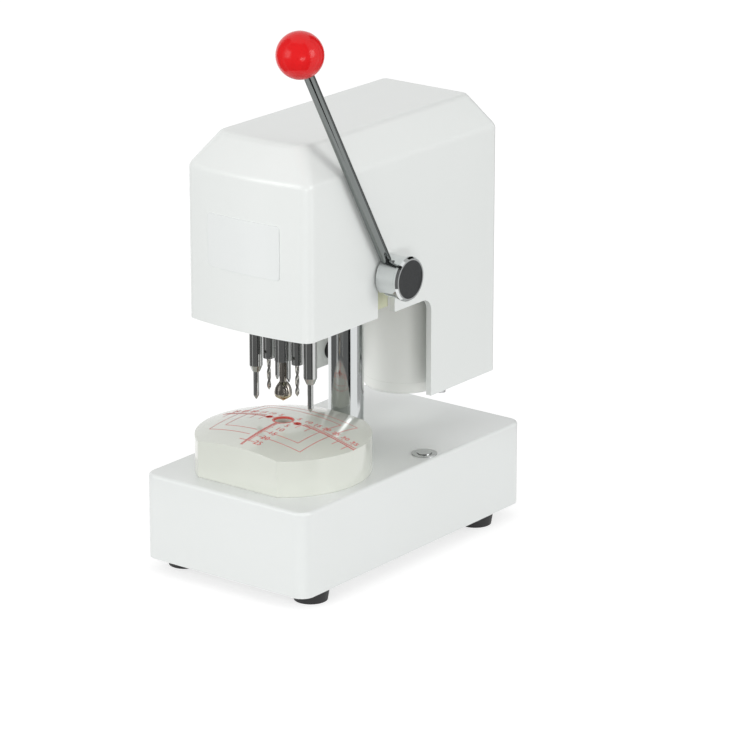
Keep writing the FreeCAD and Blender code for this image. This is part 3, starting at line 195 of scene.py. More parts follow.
def newMaterial(name, look):
    # one recipe for every finish: base colour with slow drift, a tint on sharp edges (a painted highlight
    # where lighter, the printed border on the label), settled dust (a painted highlight on the black rubber),
    # grain in the gloss
    material = bpy.data.materials.new(name)
    material.use_nodes = True
    tree = material.node_tree
    surface = tree.nodes["Principled BSDF"]
    grainKind = softGrainTree if "round" in look else grainTree
    grain = useGroup(
        tree, grainKind, Scale=look["grainScale"], Strength=look["grainStrength"], Depth=look["grainDepth"]
    )
    if "round" in look:
        grain.inputs["Round"].default_value = look["round"]
    place = addNode(tree, "ShaderNodeTexCoord")
    drift = addNode(tree, "ShaderNodeTexNoise")
    drift.inputs["Scale"].default_value = look["driftScale"]
    drift.inputs["Detail"].default_value = noiseDetail["drift"]
    tree.links.new(place.outputs["Object"], drift.inputs["Vector"])
    colour = mixColour(tree, drift.outputs["Fac"], look["colour"], look["colourDrift"])
    if "tip" in look:  # lighter gold towards the tool's tip: a painted highlight there, with painted shade on the darker gold above
        split = addNode(tree, "ShaderNodeSeparateXYZ")
        fade = addNode(tree, "ShaderNodeMapRange")
        fade.inputs["From Min"].default_value = look["tipEnd"]
        fade.inputs["From Max"].default_value = look["tipStart"]
        tree.links.new(place.outputs["Object"], split.inputs["Vector"])
        tree.links.new(split.outputs["Z"], fade.inputs["Value"])
        colour = mixColour(tree, fade.outputs["Result"], look["tip"], colour)
    # sharp edges tinted: lighter edges are a painted highlight, the label's darker edge is its printed border
    if "edge" in look:
        edge = useGroup(tree, edgeTree, Radius=look["edgeRadius"], Gain=look["edgeGain"])
        colour = mixColour(tree, edge.outputs["Mask"], colour, look["edge"])
    # settled dust; on the black rubber this lighter tint is a painted highlight
    if "dustAndSheen" in look:
        dustAndSheen = useGroup(tree, dustAndSheenTree, Amount=look["dustAndSheen"])
        colour = mixColour(tree, dustAndSheen.outputs["Mask"], colour, dustAndSheenColour)
    tree.links.new(colour, surface.inputs["Base Color"])
    tree.links.new(stretch(tree, grain.outputs["Mask"], *look["roughness"]), surface.inputs["Roughness"])
    tree.links.new(grain.outputs["Normal"], surface.inputs["Normal"])
    surface.inputs["Metallic"].default_value = look.get("metallic", 0.0)
    surface.inputs["Specular IOR Level"].default_value = look.get("specular", 0.5)
    surface.inputs["Coat Weight"].default_value = look.get("coat", 0.0)
    surface.inputs["Coat Roughness"].default_value = look.get("coatRoughness", 0.1)
    return material


# the dust colour, which on the black rubber reads as a painted highlight
dustAndSheenColour = shade(196, 192, 182)

looks = {
    "enamel": {
        "colour": shade(233, 236, 234), "colourDrift": shade(236, 239, 238), "driftScale": 9.0,
        "grainScale": 420.0, "grainStrength": 0.10, "grainDepth": 0.0003, "roughness": (0.30, 0.40),
        "edge": shade(244, 246, 245), "edgeRadius": 0.0012, "edgeGain": 4.0, "dustAndSheen": 0.05,
        "coat": 0.35, "coatRoughness": 0.12,
    },
    "cover": {
        "colour": shade(234, 237, 235), "colourDrift": shade(237, 240, 238), "driftScale": 6.0,
        "grainScale": 700.0, "grainStrength": 0.07, "grainDepth": 0.0002, "roughness": (0.32, 0.42),
        "edge": shade(245, 247, 246), "edgeRadius": 0.0012, "edgeGain": 4.0, "dustAndSheen": 0.04,
        "coat": 0.3, "coatRoughness": 0.15,
    },
    "pad": {
        "colour": shade(217, 220, 211), "colourDrift": shade(221, 224, 215), "driftScale": 14.0,
        "grainScale": 900.0, "grainStrength": 0.05, "grainDepth": 0.0002, "roughness": (0.16, 0.26),
        "edge": shade(236, 239, 230), "edgeRadius": 0.0008, "edgeGain": 4.0, "dustAndSheen": 0.05,
        "coat": 0.5, "coatRoughness": 0.06, "round": 0.0012,
    },
    "frameCream": {
        "colour": shade(206, 209, 178), "colourDrift": shade(214, 216, 188), "driftScale": 25.0,
        "grainScale": 500.0, "grainStrength": 0.2, "grainDepth": 0.0004, "roughness": (0.38, 0.5),
        "edge": shade(224, 226, 202), "edgeRadius": 0.0008, "edgeGain": 4.0,
    },
    # the motor's paint lifted to near white: painted light standing in for the light the cover keeps off
    "motorPaintWithPaintedLight": {
        "colour": shade(253, 255, 250), "colourDrift": shade(254, 255, 252), "driftScale": 30.0,
        "grainScale": 900.0, "grainStrength": 0.12, "grainDepth": 0.0003, "roughness": (0.34, 0.46),
        "edge": shade(226, 228, 222), "edgeRadius": 0.0008, "edgeGain": 4.0,
    },
    "chrome": {
        "colour": (0.58, 0.60, 0.60), "colourDrift": (0.63, 0.65, 0.65), "driftScale": 20.0,
        "grainScale": 1600.0, "grainStrength": 0.015, "grainDepth": 0.0001, "roughness": (0.05, 0.10),
        "metallic": 1.0,
    },
    "hubChrome": {
        "colour": (0.68, 0.70, 0.70), "colourDrift": (0.73, 0.75, 0.75), "driftScale": 20.0,
        "grainScale": 1600.0, "grainStrength": 0.015, "grainDepth": 0.0001, "roughness": (0.05, 0.10),
        "metallic": 1.0,
    },
    # a darker copy of the column's chrome: painted shade on the lever rod
    "rodChromeShaded": {
        "colour": (0.18, 0.195, 0.19), "colourDrift": (0.215, 0.23, 0.225), "driftScale": 20.0,
        "grainScale": 1600.0, "grainStrength": 0.015, "grainDepth": 0.0001, "roughness": (0.06, 0.12),
        "metallic": 1.0,
    },
    "toolSteel": {
        "colour": (0.50, 0.51, 0.50), "colourDrift": (0.58, 0.59, 0.58), "driftScale": 120.0,
        "grainScale": 2200.0, "grainStrength": 0.04, "grainDepth": 0.0001, "roughness": (0.07, 0.15),
        "edge": (0.75, 0.75, 0.74), "edgeRadius": 0.0004, "edgeGain": 5.0, "metallic": 1.0,
    },
    "drillSteel": {
        "colour": (0.52, 0.51, 0.48), "colourDrift": (0.62, 0.61, 0.58), "driftScale": 90.0,
        "grainScale": 2600.0, "grainStrength": 0.03, "grainDepth": 0.0001, "roughness": (0.08, 0.16),
        "edge": (0.92, 0.92, 0.90), "edgeRadius": 0.0004, "edgeGain": 10.0, "metallic": 1.0,
    },
    "goldBit": {
        "colour": (0.40, 0.37, 0.33), "colourDrift": (0.46, 0.43, 0.39), "driftScale": 40.0,
        # the bright gold at the tip is a painted highlight, the darker body painted shade
        "tip": (0.98, 0.88, 0.52), "tipStart": 0.1335, "tipEnd": 0.1275,
        "grainScale": 2000.0, "grainStrength": 0.02, "grainDepth": 0.0001, "roughness": (0.10, 0.18),
        "edge": (0.92, 0.88, 0.74), "edgeRadius": 0.0003, "edgeGain": 6.0, "metallic": 1.0,
    },
    "zinc": {
        "colour": (0.52, 0.53, 0.54), "colourDrift": (0.62, 0.63, 0.63), "driftScale": 200.0,
        "grainScale": 1500.0, "grainStrength": 0.12, "grainDepth": 0.0001, "roughness": (0.26, 0.42),
        "edge": (0.78, 0.78, 0.78), "edgeRadius": 0.0003, "edgeGain": 6.0, "metallic": 1.0,
    },
    "bronze": {
        "colour": (0.45, 0.28, 0.13), "colourDrift": (0.55, 0.36, 0.18), "driftScale": 160.0,
        "grainScale": 1800.0, "grainStrength": 0.15, "grainDepth": 0.0001, "roughness": (0.3, 0.45),
        "metallic": 1.0,
    },
    "buttonSteel": {
        "colour": (0.46, 0.47, 0.47), "colourDrift": (0.63, 0.64, 0.64), "driftScale": 260.0,
        "grainScale": 1800.0, "grainStrength": 0.06, "grainDepth": 0.0001, "roughness": (0.14, 0.24),
        "edge": (0.82, 0.82, 0.82), "edgeRadius": 0.0003, "edgeGain": 6.0, "metallic": 1.0,
    },
    "redBall": {
        "colour": (0.74, 0.010, 0.012), "colourDrift": (0.78, 0.014, 0.016), "driftScale": 40.0,
        "grainScale": 900.0, "grainStrength": 0.03, "grainDepth": 0.0002, "roughness": (0.14, 0.22),
        "specular": 0.28,
    },
    "blackCap": {
        "colour": shade(30, 32, 33), "colourDrift": shade(48, 50, 51), "driftScale": 500.0,
        "grainScale": 1400.0, "grainStrength": 0.6, "grainDepth": 0.0006, "roughness": (0.42, 0.62),
    },
    "blackRubber": {
        "colour": shade(30, 30, 31), "colourDrift": shade(42, 42, 43), "driftScale": 120.0,
        "grainScale": 1600.0, "grainStrength": 0.3, "grainDepth": 0.0003, "roughness": (0.5, 0.7),
        # on the rubber feet this dust is a painted highlight
        "dustAndSheen": 0.12,
    },
    "nylon": {
        "colour": shade(226, 224, 214), "colourDrift": shade(212, 209, 196), "driftScale": 120.0,
        "grainScale": 900.0, "grainStrength": 0.25, "grainDepth": 0.0004, "roughness": (0.4, 0.55),
    },
    "labelFilm": {
        "colour": shade(235, 238, 237), "colourDrift": shade(237, 240, 239), "driftScale": 30.0,
        "grainScale": 1200.0, "grainStrength": 0.03, "grainDepth": 0.0001, "roughness": (0.2, 0.28),
        "edge": shade(214, 218, 218), "edgeRadius": 0.0006, "edgeGain": 6.0, "coat": 0.3,
    },
    "redInk": {
        "colour": shade(206, 74, 72), "colourDrift": shade(222, 104, 98), "driftScale": 600.0,
        "grainScale": 2000.0, "grainStrength": 0.1, "grainDepth": 0.00005, "roughness": (0.35, 0.5),
    },
    "redRing": {
        "colour": shade(214, 60, 54), "colourDrift": shade(226, 120, 108), "driftScale": 420.0,
        "grainScale": 1500.0, "grainStrength": 0.1, "grainDepth": 0.0001, "roughness": (0.3, 0.45),
    },
}

finish = {name: newMaterial(name, look) for name, look in looks.items()}
print("finishes made:", len(finish))

nodeFinish = {
    "enamel": ["base_housing", "bottom_plate"],
    "cover": ["head_cover"],
    "pad": ["work_pad"],
    "frameCream": ["carriage", "shaft_bracket", "gearbox_housing", "upper_block"],
    "motorPaintWithPaintedLight": ["motor_can", "motor_top_cap", "motor_bottom_cap"],
    "chrome": ["column"],
    "hubChrome": ["lever_hub"],
    "rodChromeShaded": ["lever_rod"],
    "toolSteel": [
        "guard_sleeve", "pin_barrels", "left_hold_pin", "right_hold_pin", "spindle_shaft", "left_spindle",
        "right_spindle", "rack_bar", "pinion_gear", "pinion_shaft", "centre_gear", "motor_shaft",
    ],
    "drillSteel": ["left_drill_bit", "right_drill_bit"],
    "goldBit": ["centre_cutter"],
    "zinc": [
        "base_screws", "column_flange", "flange_bolts", "rack_screws", "stop_collar", "return_spring",
        "cover_screws", "cover_hangers", "frame_plate", "frame_screws", "left_pin_spring", "right_pin_spring",
        "shaft_circlip", "hub_set_screw", "switch_nut", "spindle_pulley", "motor_pulley",
    ],
    "bronze": ["column_bushes", "shaft_bushes", "spindle_bushes", "upper_bearings"],
    "buttonSteel": ["switch_bezel", "button_cap"],
    "redBall": ["lever_knob"],
    "blackCap": ["hub_cap"],
    "blackRubber": ["rubber_feet", "drive_belt", "cord_grommet"],
    "nylon": ["pad_insert", "insert_support"],
    "labelFilm": ["label_plate"],
}


def dressNodes():
    for name, nodes in nodeFinish.items():
        for node in nodes:
            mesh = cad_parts[node].data
            mesh.materials.clear()
            mesh.materials.append(finish[name])
    left = set(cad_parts) - {node for nodes in nodeFinish.values() for node in nodes}
    print("nodes without a finish:", sorted(left))


dressNodes()


# The printed chart on the pad's crowned top

chart = {
    "crownTop": 112.5 * mm,    # the crown's highest point, over the hole
    "rimHeight": 102.5 * mm,
    "unit": 1.69 * mm,         # one small division
    "ink": 0.08 * mm,          # how thick the print is
    "stripStep": 2.0 * mm,     # how closely a line follows the crown
    "line": 0.60 * mm,
    "thin": 0.44 * mm,
    "tick": 0.55 * mm,
    "numberEvery": 5,          # and every fifth tick is longer
    "numberEnds": {"right": 40, "left": 31, "front": 26},
    "numberSize": 6.4 * mm,
    "numberRow": 8.4 * mm,
    "frontNumberRow": 10.2 * mm,
    "frontNumberSize": 7.0 * mm,
    "start": 8.2 * mm,         # lines begin here, outside the centre hole's ring
    "drillGap": 3.0 * mm,
    "reachRight": 38.5,        # in divisions, as the next ones are
    "reachLeft": 34,
    "reachFront": 29,
    "crossBar": (-4, 4.5, -25),
    "boxGap": 2.5,
    "boxes": ((20, 15), (25, 20)),
    "pairOffset": 0.55 * mm,
    "ticks": {"start": 11, "right": 28, "left": 23, "short": 3.6 * mm, "long": 5.0 * mm},
    "frontTicks": {"start": 5, "count": 21, "short": 2.6 * mm, "long": 3.8 * mm},
    "marks": {"start": 10, "right": 6, "left": 5, "long": 7.6 * mm},
}

padLow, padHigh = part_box("work_pad")
padRadius = (padHigh.x - padLow.x) / 2
padDrop = chart["crownTop"] - chart["rimHeight"]
domeRadius = (padRadius ** 2 + padDrop ** 2) / (2 * padDrop)
holeLow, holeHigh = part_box("spindle_shaft")
holeX = (holeLow.x + holeHigh.x) / 2
holeY = (holeLow.y + holeHigh.y) / 2


def domeHeight(x, y):
    # x and y are measured from the hole's centre
    return chart["crownTop"] - domeRadius + math.sqrt(domeRadius ** 2 - x * x - y * y)


def onPad(x, y, lift):
    return Vector((holeX + x, holeY + y, domeHeight(x, y) + lift))


def newPiece(name, builder, material, body):
    mesh = bpy.data.meshes.new(name)
    builder.to_mesh(mesh)
    builder.free()
    return finishPiece(name, mesh, material, body)


def finishPiece(name, mesh, material, body):
    piece = bpy.data.objects.new(name, mesh)
    bpy.context.scene.collection.objects.link(piece)
    mesh.materials.clear()
    mesh.materials.append(material)
    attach(piece, body)
    return piece


def addStrip(builder, points, width):
    # a thin closed strip of ink that follows the crowned top through the points
    steps = []
    for start, end in zip(points, points[1:]):
        start, end = Vector(start), Vector(end)
        count = max(1, int((end - start).length / chart["stripStep"]))
        steps += [start.lerp(end, index / count) for index in range(count)]
    steps.append(Vector(points[-1]))
    rings = []
    for index, here in enumerate(steps):
        before = steps[max(index - 1, 0)]
        after = steps[min(index + 1, len(steps) - 1)]
        along = (after - before).normalized()
        side = Vector((-along.y, along.x)) * width / 2
        corners = (
            (here - side, 0.0), (here + side, 0.0), (here + side, chart["ink"]), (here - side, chart["ink"])
        )
        rings.append([builder.verts.new(onPad(place.x, place.y, lift)) for place, lift in corners])
    for first, second in zip(rings, rings[1:]):
        for corner in range(4):
            following = (corner + 1) % 4
            builder.faces.new((first[corner], first[following], second[following], second[corner]))
    builder.faces.new(tuple(reversed(rings[0])))
    builder.faces.new(tuple(rings[-1]))


def chartLines():
    unit = chart["unit"]
    start = chart["start"]
    builder = bmesh.new()
    drillLow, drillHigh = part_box("right_drill_bit")
    drillX = (drillLow.x + drillHigh.x) / 2 - holeX
    ends = ((1, chart["reachRight"] * unit), (-1, -chart["reachLeft"] * unit))
    for side, end in ends:  # broken at the drills' holes
        addStrip(builder, [(side * start, 0), (side * (drillX - chart["drillGap"]), 0)], chart["line"])
        addStrip(builder, [(side * (drillX + chart["drillGap"]), 0), (end, 0)], chart["line"])
    for offset in (-chart["pairOffset"], chart["pairOffset"]):
        addStrip(builder, [(offset, -start), (offset, -chart["reachFront"] * unit)], chart["line"])
    left, right, front = (count * unit for count in chart["crossBar"])
    addStrip(builder, [(left, front), (right, front)], chart["thin"])
    for wide, deep in chart["boxes"]:
        for side in (-1, 1):
            for way in (-1, 1):
                corner = (side * wide * unit, way * deep * unit)
                addStrip(builder, [(corner[0], 0), corner], chart["thin"])
                gap = chart["boxGap"] * unit if way < 0 else 0
                addStrip(builder, [corner, (side * gap, corner[1])], chart["thin"])
    bmesh.ops.recalc_face_normals(builder, faces=builder.faces)
    newPiece("padChartLines", builder, finish["redInk"], "base")


def tickTree():
    # rows of tick marks laid on the crowned top: every longEvery-th one is longer
    tree = bpy.data.node_groups.new("rulerTicks", "GeometryNodeTree")
    tree.interface.new_socket(name="Geometry", in_out="OUTPUT", socket_type="NodeSocketGeometry")
    sizes = {
        "Start X": 0.0, "Start Y": 0.0, "Step X": 0.001, "Step Y": 0.0, "Across X": 0.0, "Across Y": 1.0,
        "Short": 0.002, "Long": 0.004, "Width": 0.0002, "Ink": 0.00005,
    }
    for label, value in sizes.items():
        socket = tree.interface.new_socket(name=label, in_out="INPUT", socket_type="NodeSocketFloat")
        socket.default_value = value
    for label, value in {"Count": 10, "Long Every": 5, "First": 1}.items():
        socket = tree.interface.new_socket(name=label, in_out="INPUT", socket_type="NodeSocketInt")
        socket.default_value = value
    tree.interface.new_socket(name="Material", in_out="INPUT", socket_type="NodeSocketMaterial")
    entry = addNode(tree, "NodeGroupInput")
    leave = addNode(tree, "NodeGroupOutput")
    link = tree.links.new

    def maths(operation, first, second):
        node = addNode(tree, "ShaderNodeMath", operation=operation)
        for socket, value in zip(node.inputs, (first, second)):
            if isinstance(value, (int, float)):
                socket.default_value = value
            else:
                link(value, socket)
        return node.outputs[0]

    def vector(x, y, z):
        node = addNode(tree, "ShaderNodeCombineXYZ")
        for socket, value in zip(node.inputs, (x, y, z)):
            if isinstance(value, (int, float)):
                socket.default_value = value
            else:
                link(value, socket)
        return node.outputs[0]

    row = addNode(tree, "GeometryNodeMeshLine", mode="OFFSET")
    link(entry.outputs["Count"], row.inputs["Count"])
    link(vector(entry.outputs["Start X"], entry.outputs["Start Y"], 0.0), row.inputs["Start Location"])
    link(vector(entry.outputs["Step X"], entry.outputs["Step Y"], 0.0), row.inputs["Offset"])
    index = addNode(tree, "GeometryNodeInputIndex")
    counted = maths("ADD", index.outputs[0], entry.outputs["First"])
    remainder = maths("MODULO", counted, entry.outputs["Long Every"])
    isLong = maths("LESS_THAN", remainder, 0.5)
    span = maths("SUBTRACT", entry.outputs["Long"], entry.outputs["Short"])
    length = maths("ADD", entry.outputs["Short"], maths("MULTIPLY", span, isLong))
    tick = addNode(tree, "GeometryNodeMeshCube")
    for axis in ("Vertices X", "Vertices Y", "Vertices Z"):
        tick.inputs[axis].default_value = 4 if axis == "Vertices Y" else 2
    link(vector(1.0, 1.0, 1.0), tick.inputs["Size"])
    turn = maths("ARCTAN2", entry.outputs["Across Y"], entry.outputs["Across X"])
    turned = maths("SUBTRACT", turn, math.pi / 2)
    place = addNode(tree, "GeometryNodeInstanceOnPoints")
    link(row.outputs["Mesh"], place.inputs["Points"])
    link(tick.outputs["Mesh"], place.inputs["Instance"])
    link(vector(0.0, 0.0, turned), place.inputs["Rotation"])
    link(vector(entry.outputs["Width"], length, entry.outputs["Ink"]), place.inputs["Scale"])
    shift = addNode(tree, "GeometryNodeTranslateInstances")
    half = maths("MULTIPLY", length, 0.5)
    link(place.outputs["Instances"], shift.inputs["Instances"])
    aside = maths("MULTIPLY", half, entry.outputs["Across X"])
    ahead = maths("MULTIPLY", half, entry.outputs["Across Y"])
    link(vector(aside, ahead, 0.0), shift.inputs["Translation"])
    shift.inputs["Local Space"].default_value = False
    real = addNode(tree, "GeometryNodeRealizeInstances")
    link(shift.outputs["Instances"], real.inputs["Geometry"])
    where = addNode(tree, "GeometryNodeInputPosition")
    parts = addNode(tree, "ShaderNodeSeparateXYZ")
    link(where.outputs["Position"], parts.inputs["Vector"])
    squares = maths("ADD", maths("POWER", parts.outputs["X"], 2.0), maths("POWER", parts.outputs["Y"], 2.0))
    rise = maths("SQRT", maths("SUBTRACT", domeRadius ** 2, squares), 0.0)
    height = maths("ADD", rise, chart["crownTop"] - domeRadius)
    raised = maths("ADD", height, maths("MULTIPLY", entry.outputs["Ink"], 0.5))
    settle = addNode(tree, "GeometryNodeSetPosition")
    link(real.outputs["Geometry"], settle.inputs["Geometry"])
    link(vector(holeX, holeY, raised), settle.inputs["Offset"])
    paint = addNode(tree, "GeometryNodeSetMaterial")
    link(settle.outputs["Geometry"], paint.inputs["Geometry"])
    link(entry.outputs["Material"], paint.inputs["Material"])
    link(paint.outputs["Geometry"], leave.inputs["Geometry"])
    return tree


def growPiece(name, tree, settings, material, body):
    # runs a Geometry Nodes tree once and keeps its result as a plain mesh
    holder = bpy.data.objects.new(name + "Maker", bpy.data.meshes.new(name + "Maker"))
    bpy.context.scene.collection.objects.link(holder)
    modifier = holder.modifiers.new("grow", "NODES")
    modifier.node_group = tree
    for item in tree.interface.items_tree:
        if item.in_out == "INPUT" and item.name in settings:
            modifier[item.identifier] = settings[item.name]
        if item.in_out == "INPUT" and item.name == "Material":
            modifier[item.identifier] = material
    view = bpy.context.evaluated_depsgraph_get()
    mesh = bpy.data.meshes.new_from_object(holder.evaluated_get(view))
    holder.modifiers.remove(modifier)
    bpy.data.objects.remove(holder)
    mesh.name = name
    return finishPiece(name, mesh, material, body)


def chartTicks():
    unit = chart["unit"]
    tree = tickTree()
    every = chart["numberEvery"]
    ticks, front, marks = chart["ticks"], chart["frontTicks"], chart["marks"]
    common = {"Width": chart["tick"], "Ink": chart["ink"], "Long Every": every}
    above = {"Across Y": 1.0, "Short": ticks["short"], "Long": ticks["long"], "First": ticks["start"]}
    below = {
        "Across Y": -1.0, "Short": marks["long"], "Long": marks["long"], "First": 1, "Width": chart["thin"],
    }
    tickX, markX = ticks["start"] * unit, marks["start"] * unit
    rows = {
        "padTicksRight": {**above, "Start X": tickX, "Step X": unit, "Count": ticks["right"]},
        "padTicksLeft": {**above, "Start X": -tickX, "Step X": -unit, "Count": ticks["left"]},
        "padMarksRight": {**below, "Start X": markX, "Step X": every * unit, "Count": marks["right"]},
        "padMarksLeft": {**below, "Start X": -markX, "Step X": -every * unit, "Count": marks["left"]},
        "padTicksFront": {
            "Start Y": -front["start"] * unit, "Step X": 0.0, "Step Y": -unit, "Across X": 1.0,
            "Across Y": 0.0, "Short": front["short"], "Long": front["long"], "Count": front["count"],
            "First": front["start"],
        },
    }
    for name, row in rows.items():
        growPiece(name, tree, {**common, **row}, finish["redInk"], "base")


def addNumber(builder, text, x, y, size):
    # a flat number, laid on the crowned top with its middle at x and y
    curve = bpy.data.curves.new("number", "FONT")
    curve.body = text
    curve.size = size
    curve.align_x = "CENTER"
    curve.align_y = "CENTER"
    curve.extrude = chart["ink"] / 2
    holder = bpy.data.objects.new("number", curve)
    bpy.context.scene.collection.objects.link(holder)
    view = bpy.context.evaluated_depsgraph_get()
    mesh = bpy.data.meshes.new_from_object(holder.evaluated_get(view))
    bpy.data.objects.remove(holder)
    for vertex in mesh.vertices:
        spot = vertex.co.copy()
        vertex.co = onPad(x + spot.x, y + spot.y, spot.z + chart["ink"] / 2)
    builder.from_mesh(mesh)
    bpy.data.meshes.remove(mesh)


def chartNumbers():
    unit = chart["unit"]
    every = chart["numberEvery"]
    ends = chart["numberEnds"]
    builder = bmesh.new()
    for side, end in ((1, ends["right"]), (-1, ends["left"])):
        for count in range(every, end, every):
            addNumber(builder, str(count), side * count * unit, chart["numberRow"], chart["numberSize"])
    for count in range(every, ends["front"], every):
        addNumber(
            builder, str(count), chart["frontNumberRow"], -count * unit, chart["frontNumberSize"]
        )
    newPiece("padNumbers", builder, finish["redInk"], "base")


lips = {
    "sides": 64, "film": 0.12 * mm,
    "centre": {"inner": 7.2 * mm, "outer": 8.2 * mm, "deep": 1.6 * mm},
    "drill": {"inner": 2.5 * mm, "outer": 2.9 * mm, "deep": 4.0 * mm},
}


def paintedRing(name, x, inner, outer, deep):
    # a painted lip round a hole: flat on top, with a short band down the wall
    builder = bmesh.new()
    sides = lips["sides"]
    rings = []
    for radius, drop in ((outer, 0.0), (outer, -chart["ink"]), (inner, -chart["ink"]), (inner, -deep),
                         (inner - lips["film"], -deep), (inner - lips["film"], 0.0)):
        ring = []
        for index in range(sides):
            angle = 2 * math.pi * index / sides
            spotX = x + radius * math.cos(angle)
            spotY = radius * math.sin(angle)
            ring.append(builder.verts.new(onPad(spotX, spotY, drop + chart["ink"])))
        rings.append(ring)
    for first, second in zip(rings, rings[1:] + rings[:1]):
        for index in range(sides):
            following = (index + 1) % sides
            builder.faces.new((first[index], first[following], second[following], second[index]))
    bmesh.ops.recalc_face_normals(builder, faces=builder.faces)
    newPiece(name, builder, finish["redRing"], "base")


def holeRings():
    left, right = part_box("left_drill_bit"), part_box("right_drill_bit")
    paintedRing("holeRing", 0.0, **lips["centre"])
    for name, (low, high) in (("leftDrillRing", left), ("rightDrillRing", right)):
        paintedRing(name, (low.x + high.x) / 2 - holeX, **lips["drill"])


chartLines()
chartTicks()
chartNumbers()
holeRings()
print("pad chart made")


# The cutting bits, with the flutes that the plain solids stand for

bits = {
    "sharpDegrees": 40,
    "fineDrill": {
        "sides": 48, "step": 0.3 * mm, "point": 2.6 * mm, "flutes": 2, "wide": 0.62, "deep": 0.46,
        "lead": 19.0 * mm, "start": 7.5 * mm, "ease": 2.5 * mm, "turn": 0.4,
    },
    "ballCutter": {
        "sides": 128, "step": 0.25 * mm, "flutes": 2, "wide": 0.46, "deep": 0.40, "sharp": 0.08, "fade": 1.3,
        "lead": 72.0 * mm, "turn": -1.265, "ballEnd": 14.0 * mm, "ease": 4.0 * mm, "shankCut": 0.3,
        "profile": ((0.0, 0.0), (2.9, 1.7), (5.6, 3.5), (6.3, 4.5), (6.5, 6.0), (6.5, 7.5), (6.3, 9.2),
                    (5.9, 10.8), (5.3, 12.2), (4.5, 13.4), (3.6, 14.4), (2.9, 15.2)),
    },
}


def rodRadius(profile, height):
    # the radius of a turned profile at a height above its tip
    for (radius, low), (following, high) in zip(profile, profile[1:]):
        if height <= high:
            return radius + (following - radius) * (height - low) / (high - low)
    return profile[-1][0]


def flutedBit(node, profile, look, reach):
    # reach gives how far the flutes are open at a height above the tip, 0 to 1
    low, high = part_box(node)
    middle = (low + high) / 2
    builder = bmesh.new()
    rings = []
    count = math.ceil((high.z - low.z) / look["step"])
    for index in range(1, count + 1):
        rise = (high.z - low.z) * index / count
        radius = rodRadius(profile, rise)
        ring = []
        for side in range(look["sides"]):
            angle = 2 * math.pi * side / look["sides"]
            swept = angle - look["turn"] - 2 * math.pi * rise / look["lead"]
            phase = swept / (2 * math.pi) * look["flutes"] % 1.0
            part = phase / look["wide"]
            cut = 0.0
            if part < 1.0 and "sharp" in look:
                cut = min(part / look["sharp"], 1.0) * (1.0 - part) ** look["fade"]
            elif part < 1.0:
                cut = math.sin(math.pi * part)
            here = radius * (1.0 - look["deep"] * reach(rise) * cut)
            spot = (middle.x + here * math.cos(angle), middle.y + here * math.sin(angle), low.z + rise)
            ring.append(builder.verts.new(spot))
        rings.append(ring)
    tip = builder.verts.new((middle.x, middle.y, low.z))
    for side in range(look["sides"]):
        following = (side + 1) % look["sides"]
        builder.faces.new((tip, rings[0][following], rings[0][side]))
        for first, second in zip(rings, rings[1:]):
            builder.faces.new((first[side], first[following], second[following], second[side]))
    builder.faces.new(rings[-1])
    bmesh.ops.recalc_face_normals(builder, faces=builder.faces)
    return builder


def smoothed(piece):
    piece.data.shade_smooth()
    piece.data.set_sharp_from_angle(angle=math.radians(bits["sharpDegrees"]))


def makeBits():
    drill = bits["fineDrill"]
    for name, node, body in (("leftFluted", "left_drill_bit", "left_drill"),
                             ("rightFluted", "right_drill_bit", "right_drill")):
        low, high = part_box(node)
        radius = (high.x - low.x) / 2
        profile = ((0.0, 0.0), (radius, drill["point"]), (radius, high.z - low.z))
        plain = high.z - low.z - drill["start"]

        def reach(rise, plain=plain):
            return min(max((plain - rise) / drill["ease"], 0.0), 1.0)

        builder = flutedBit(node, profile, drill, reach)
        piece = newPiece(name, builder, finish["drillSteel"], body)
        smoothed(piece)
        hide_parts(node)
    cutter = bits["ballCutter"]
    profile = [(radius * mm, height * mm) for radius, height in cutter["profile"]]

    def cutterReach(rise):
        past = min(max((rise - cutter["ballEnd"]) / cutter["ease"], 0.0), 1.0)
        return 1.0 + (cutter["shankCut"] - 1.0) * past

    builder = flutedBit("centre_cutter", profile, cutter, cutterReach)
    piece = newPiece("ballCutter", builder, finish["goldBit"], "centre_spindle")
    smoothed(piece)
    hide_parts("centre_cutter")


makeBits()
print("bits made")


# Studio: floor, backdrop, lamps and camera

studio = {
    "yaw": 37.524, "pitch": 17.96, "distance": 2.934, "target": (0.0319, 0.0, 0.14032),
    "focal": 193.84, "sensor": 36.0, "farthest": 50.0,
    "worldLevel": 0.66,
    "floorColour": (0.52, 0.52, 0.52),
    "floorGlow": 0.66,
    "floorReach": 6.0,
    "floorDrop": 0.2 * mm,
    "aim": (0.0, 0.0, 0.18),
    "lamps": {  # place, width, height, watts
        "keyLamp": ((-1.0, -2.6, 0.95), 1.4, 1.4, 30.0),
        "fillLamp": ((2.5, 0.3, 0.95), 1.2, 1.2, 18.0),
        "innerLamp": ((2.0, -1.7, 0.26), 0.9, 0.4, 11.0),
    },
    "wallReach": 0.34,
    "wallSteps": 24,
    "walls": {  # from and to in degrees round from the camera, low, high, level
        "wallLeft": (-112.0, -64.0, 0.0, 0.9, 0.14),
        "wallLeftGap": (-64.0, -54.0, 0.0, 0.9, 0.55),
        "wallFront": (-54.0, 16.0, 0.0, 0.9, 0.15),
        "wallSliver": (16.0, 31.0, 0.0, 0.9, 0.01),
        "wallRight": (78.0, 115.0, 0.0, 0.9, 0.50),
        "wallRearLow": (115.0, 160.0, 0.0, 0.13, 0.34),
        "wallRearHigh": (115.0, 148.0, 0.13, 0.9, 0.01),
    },
}


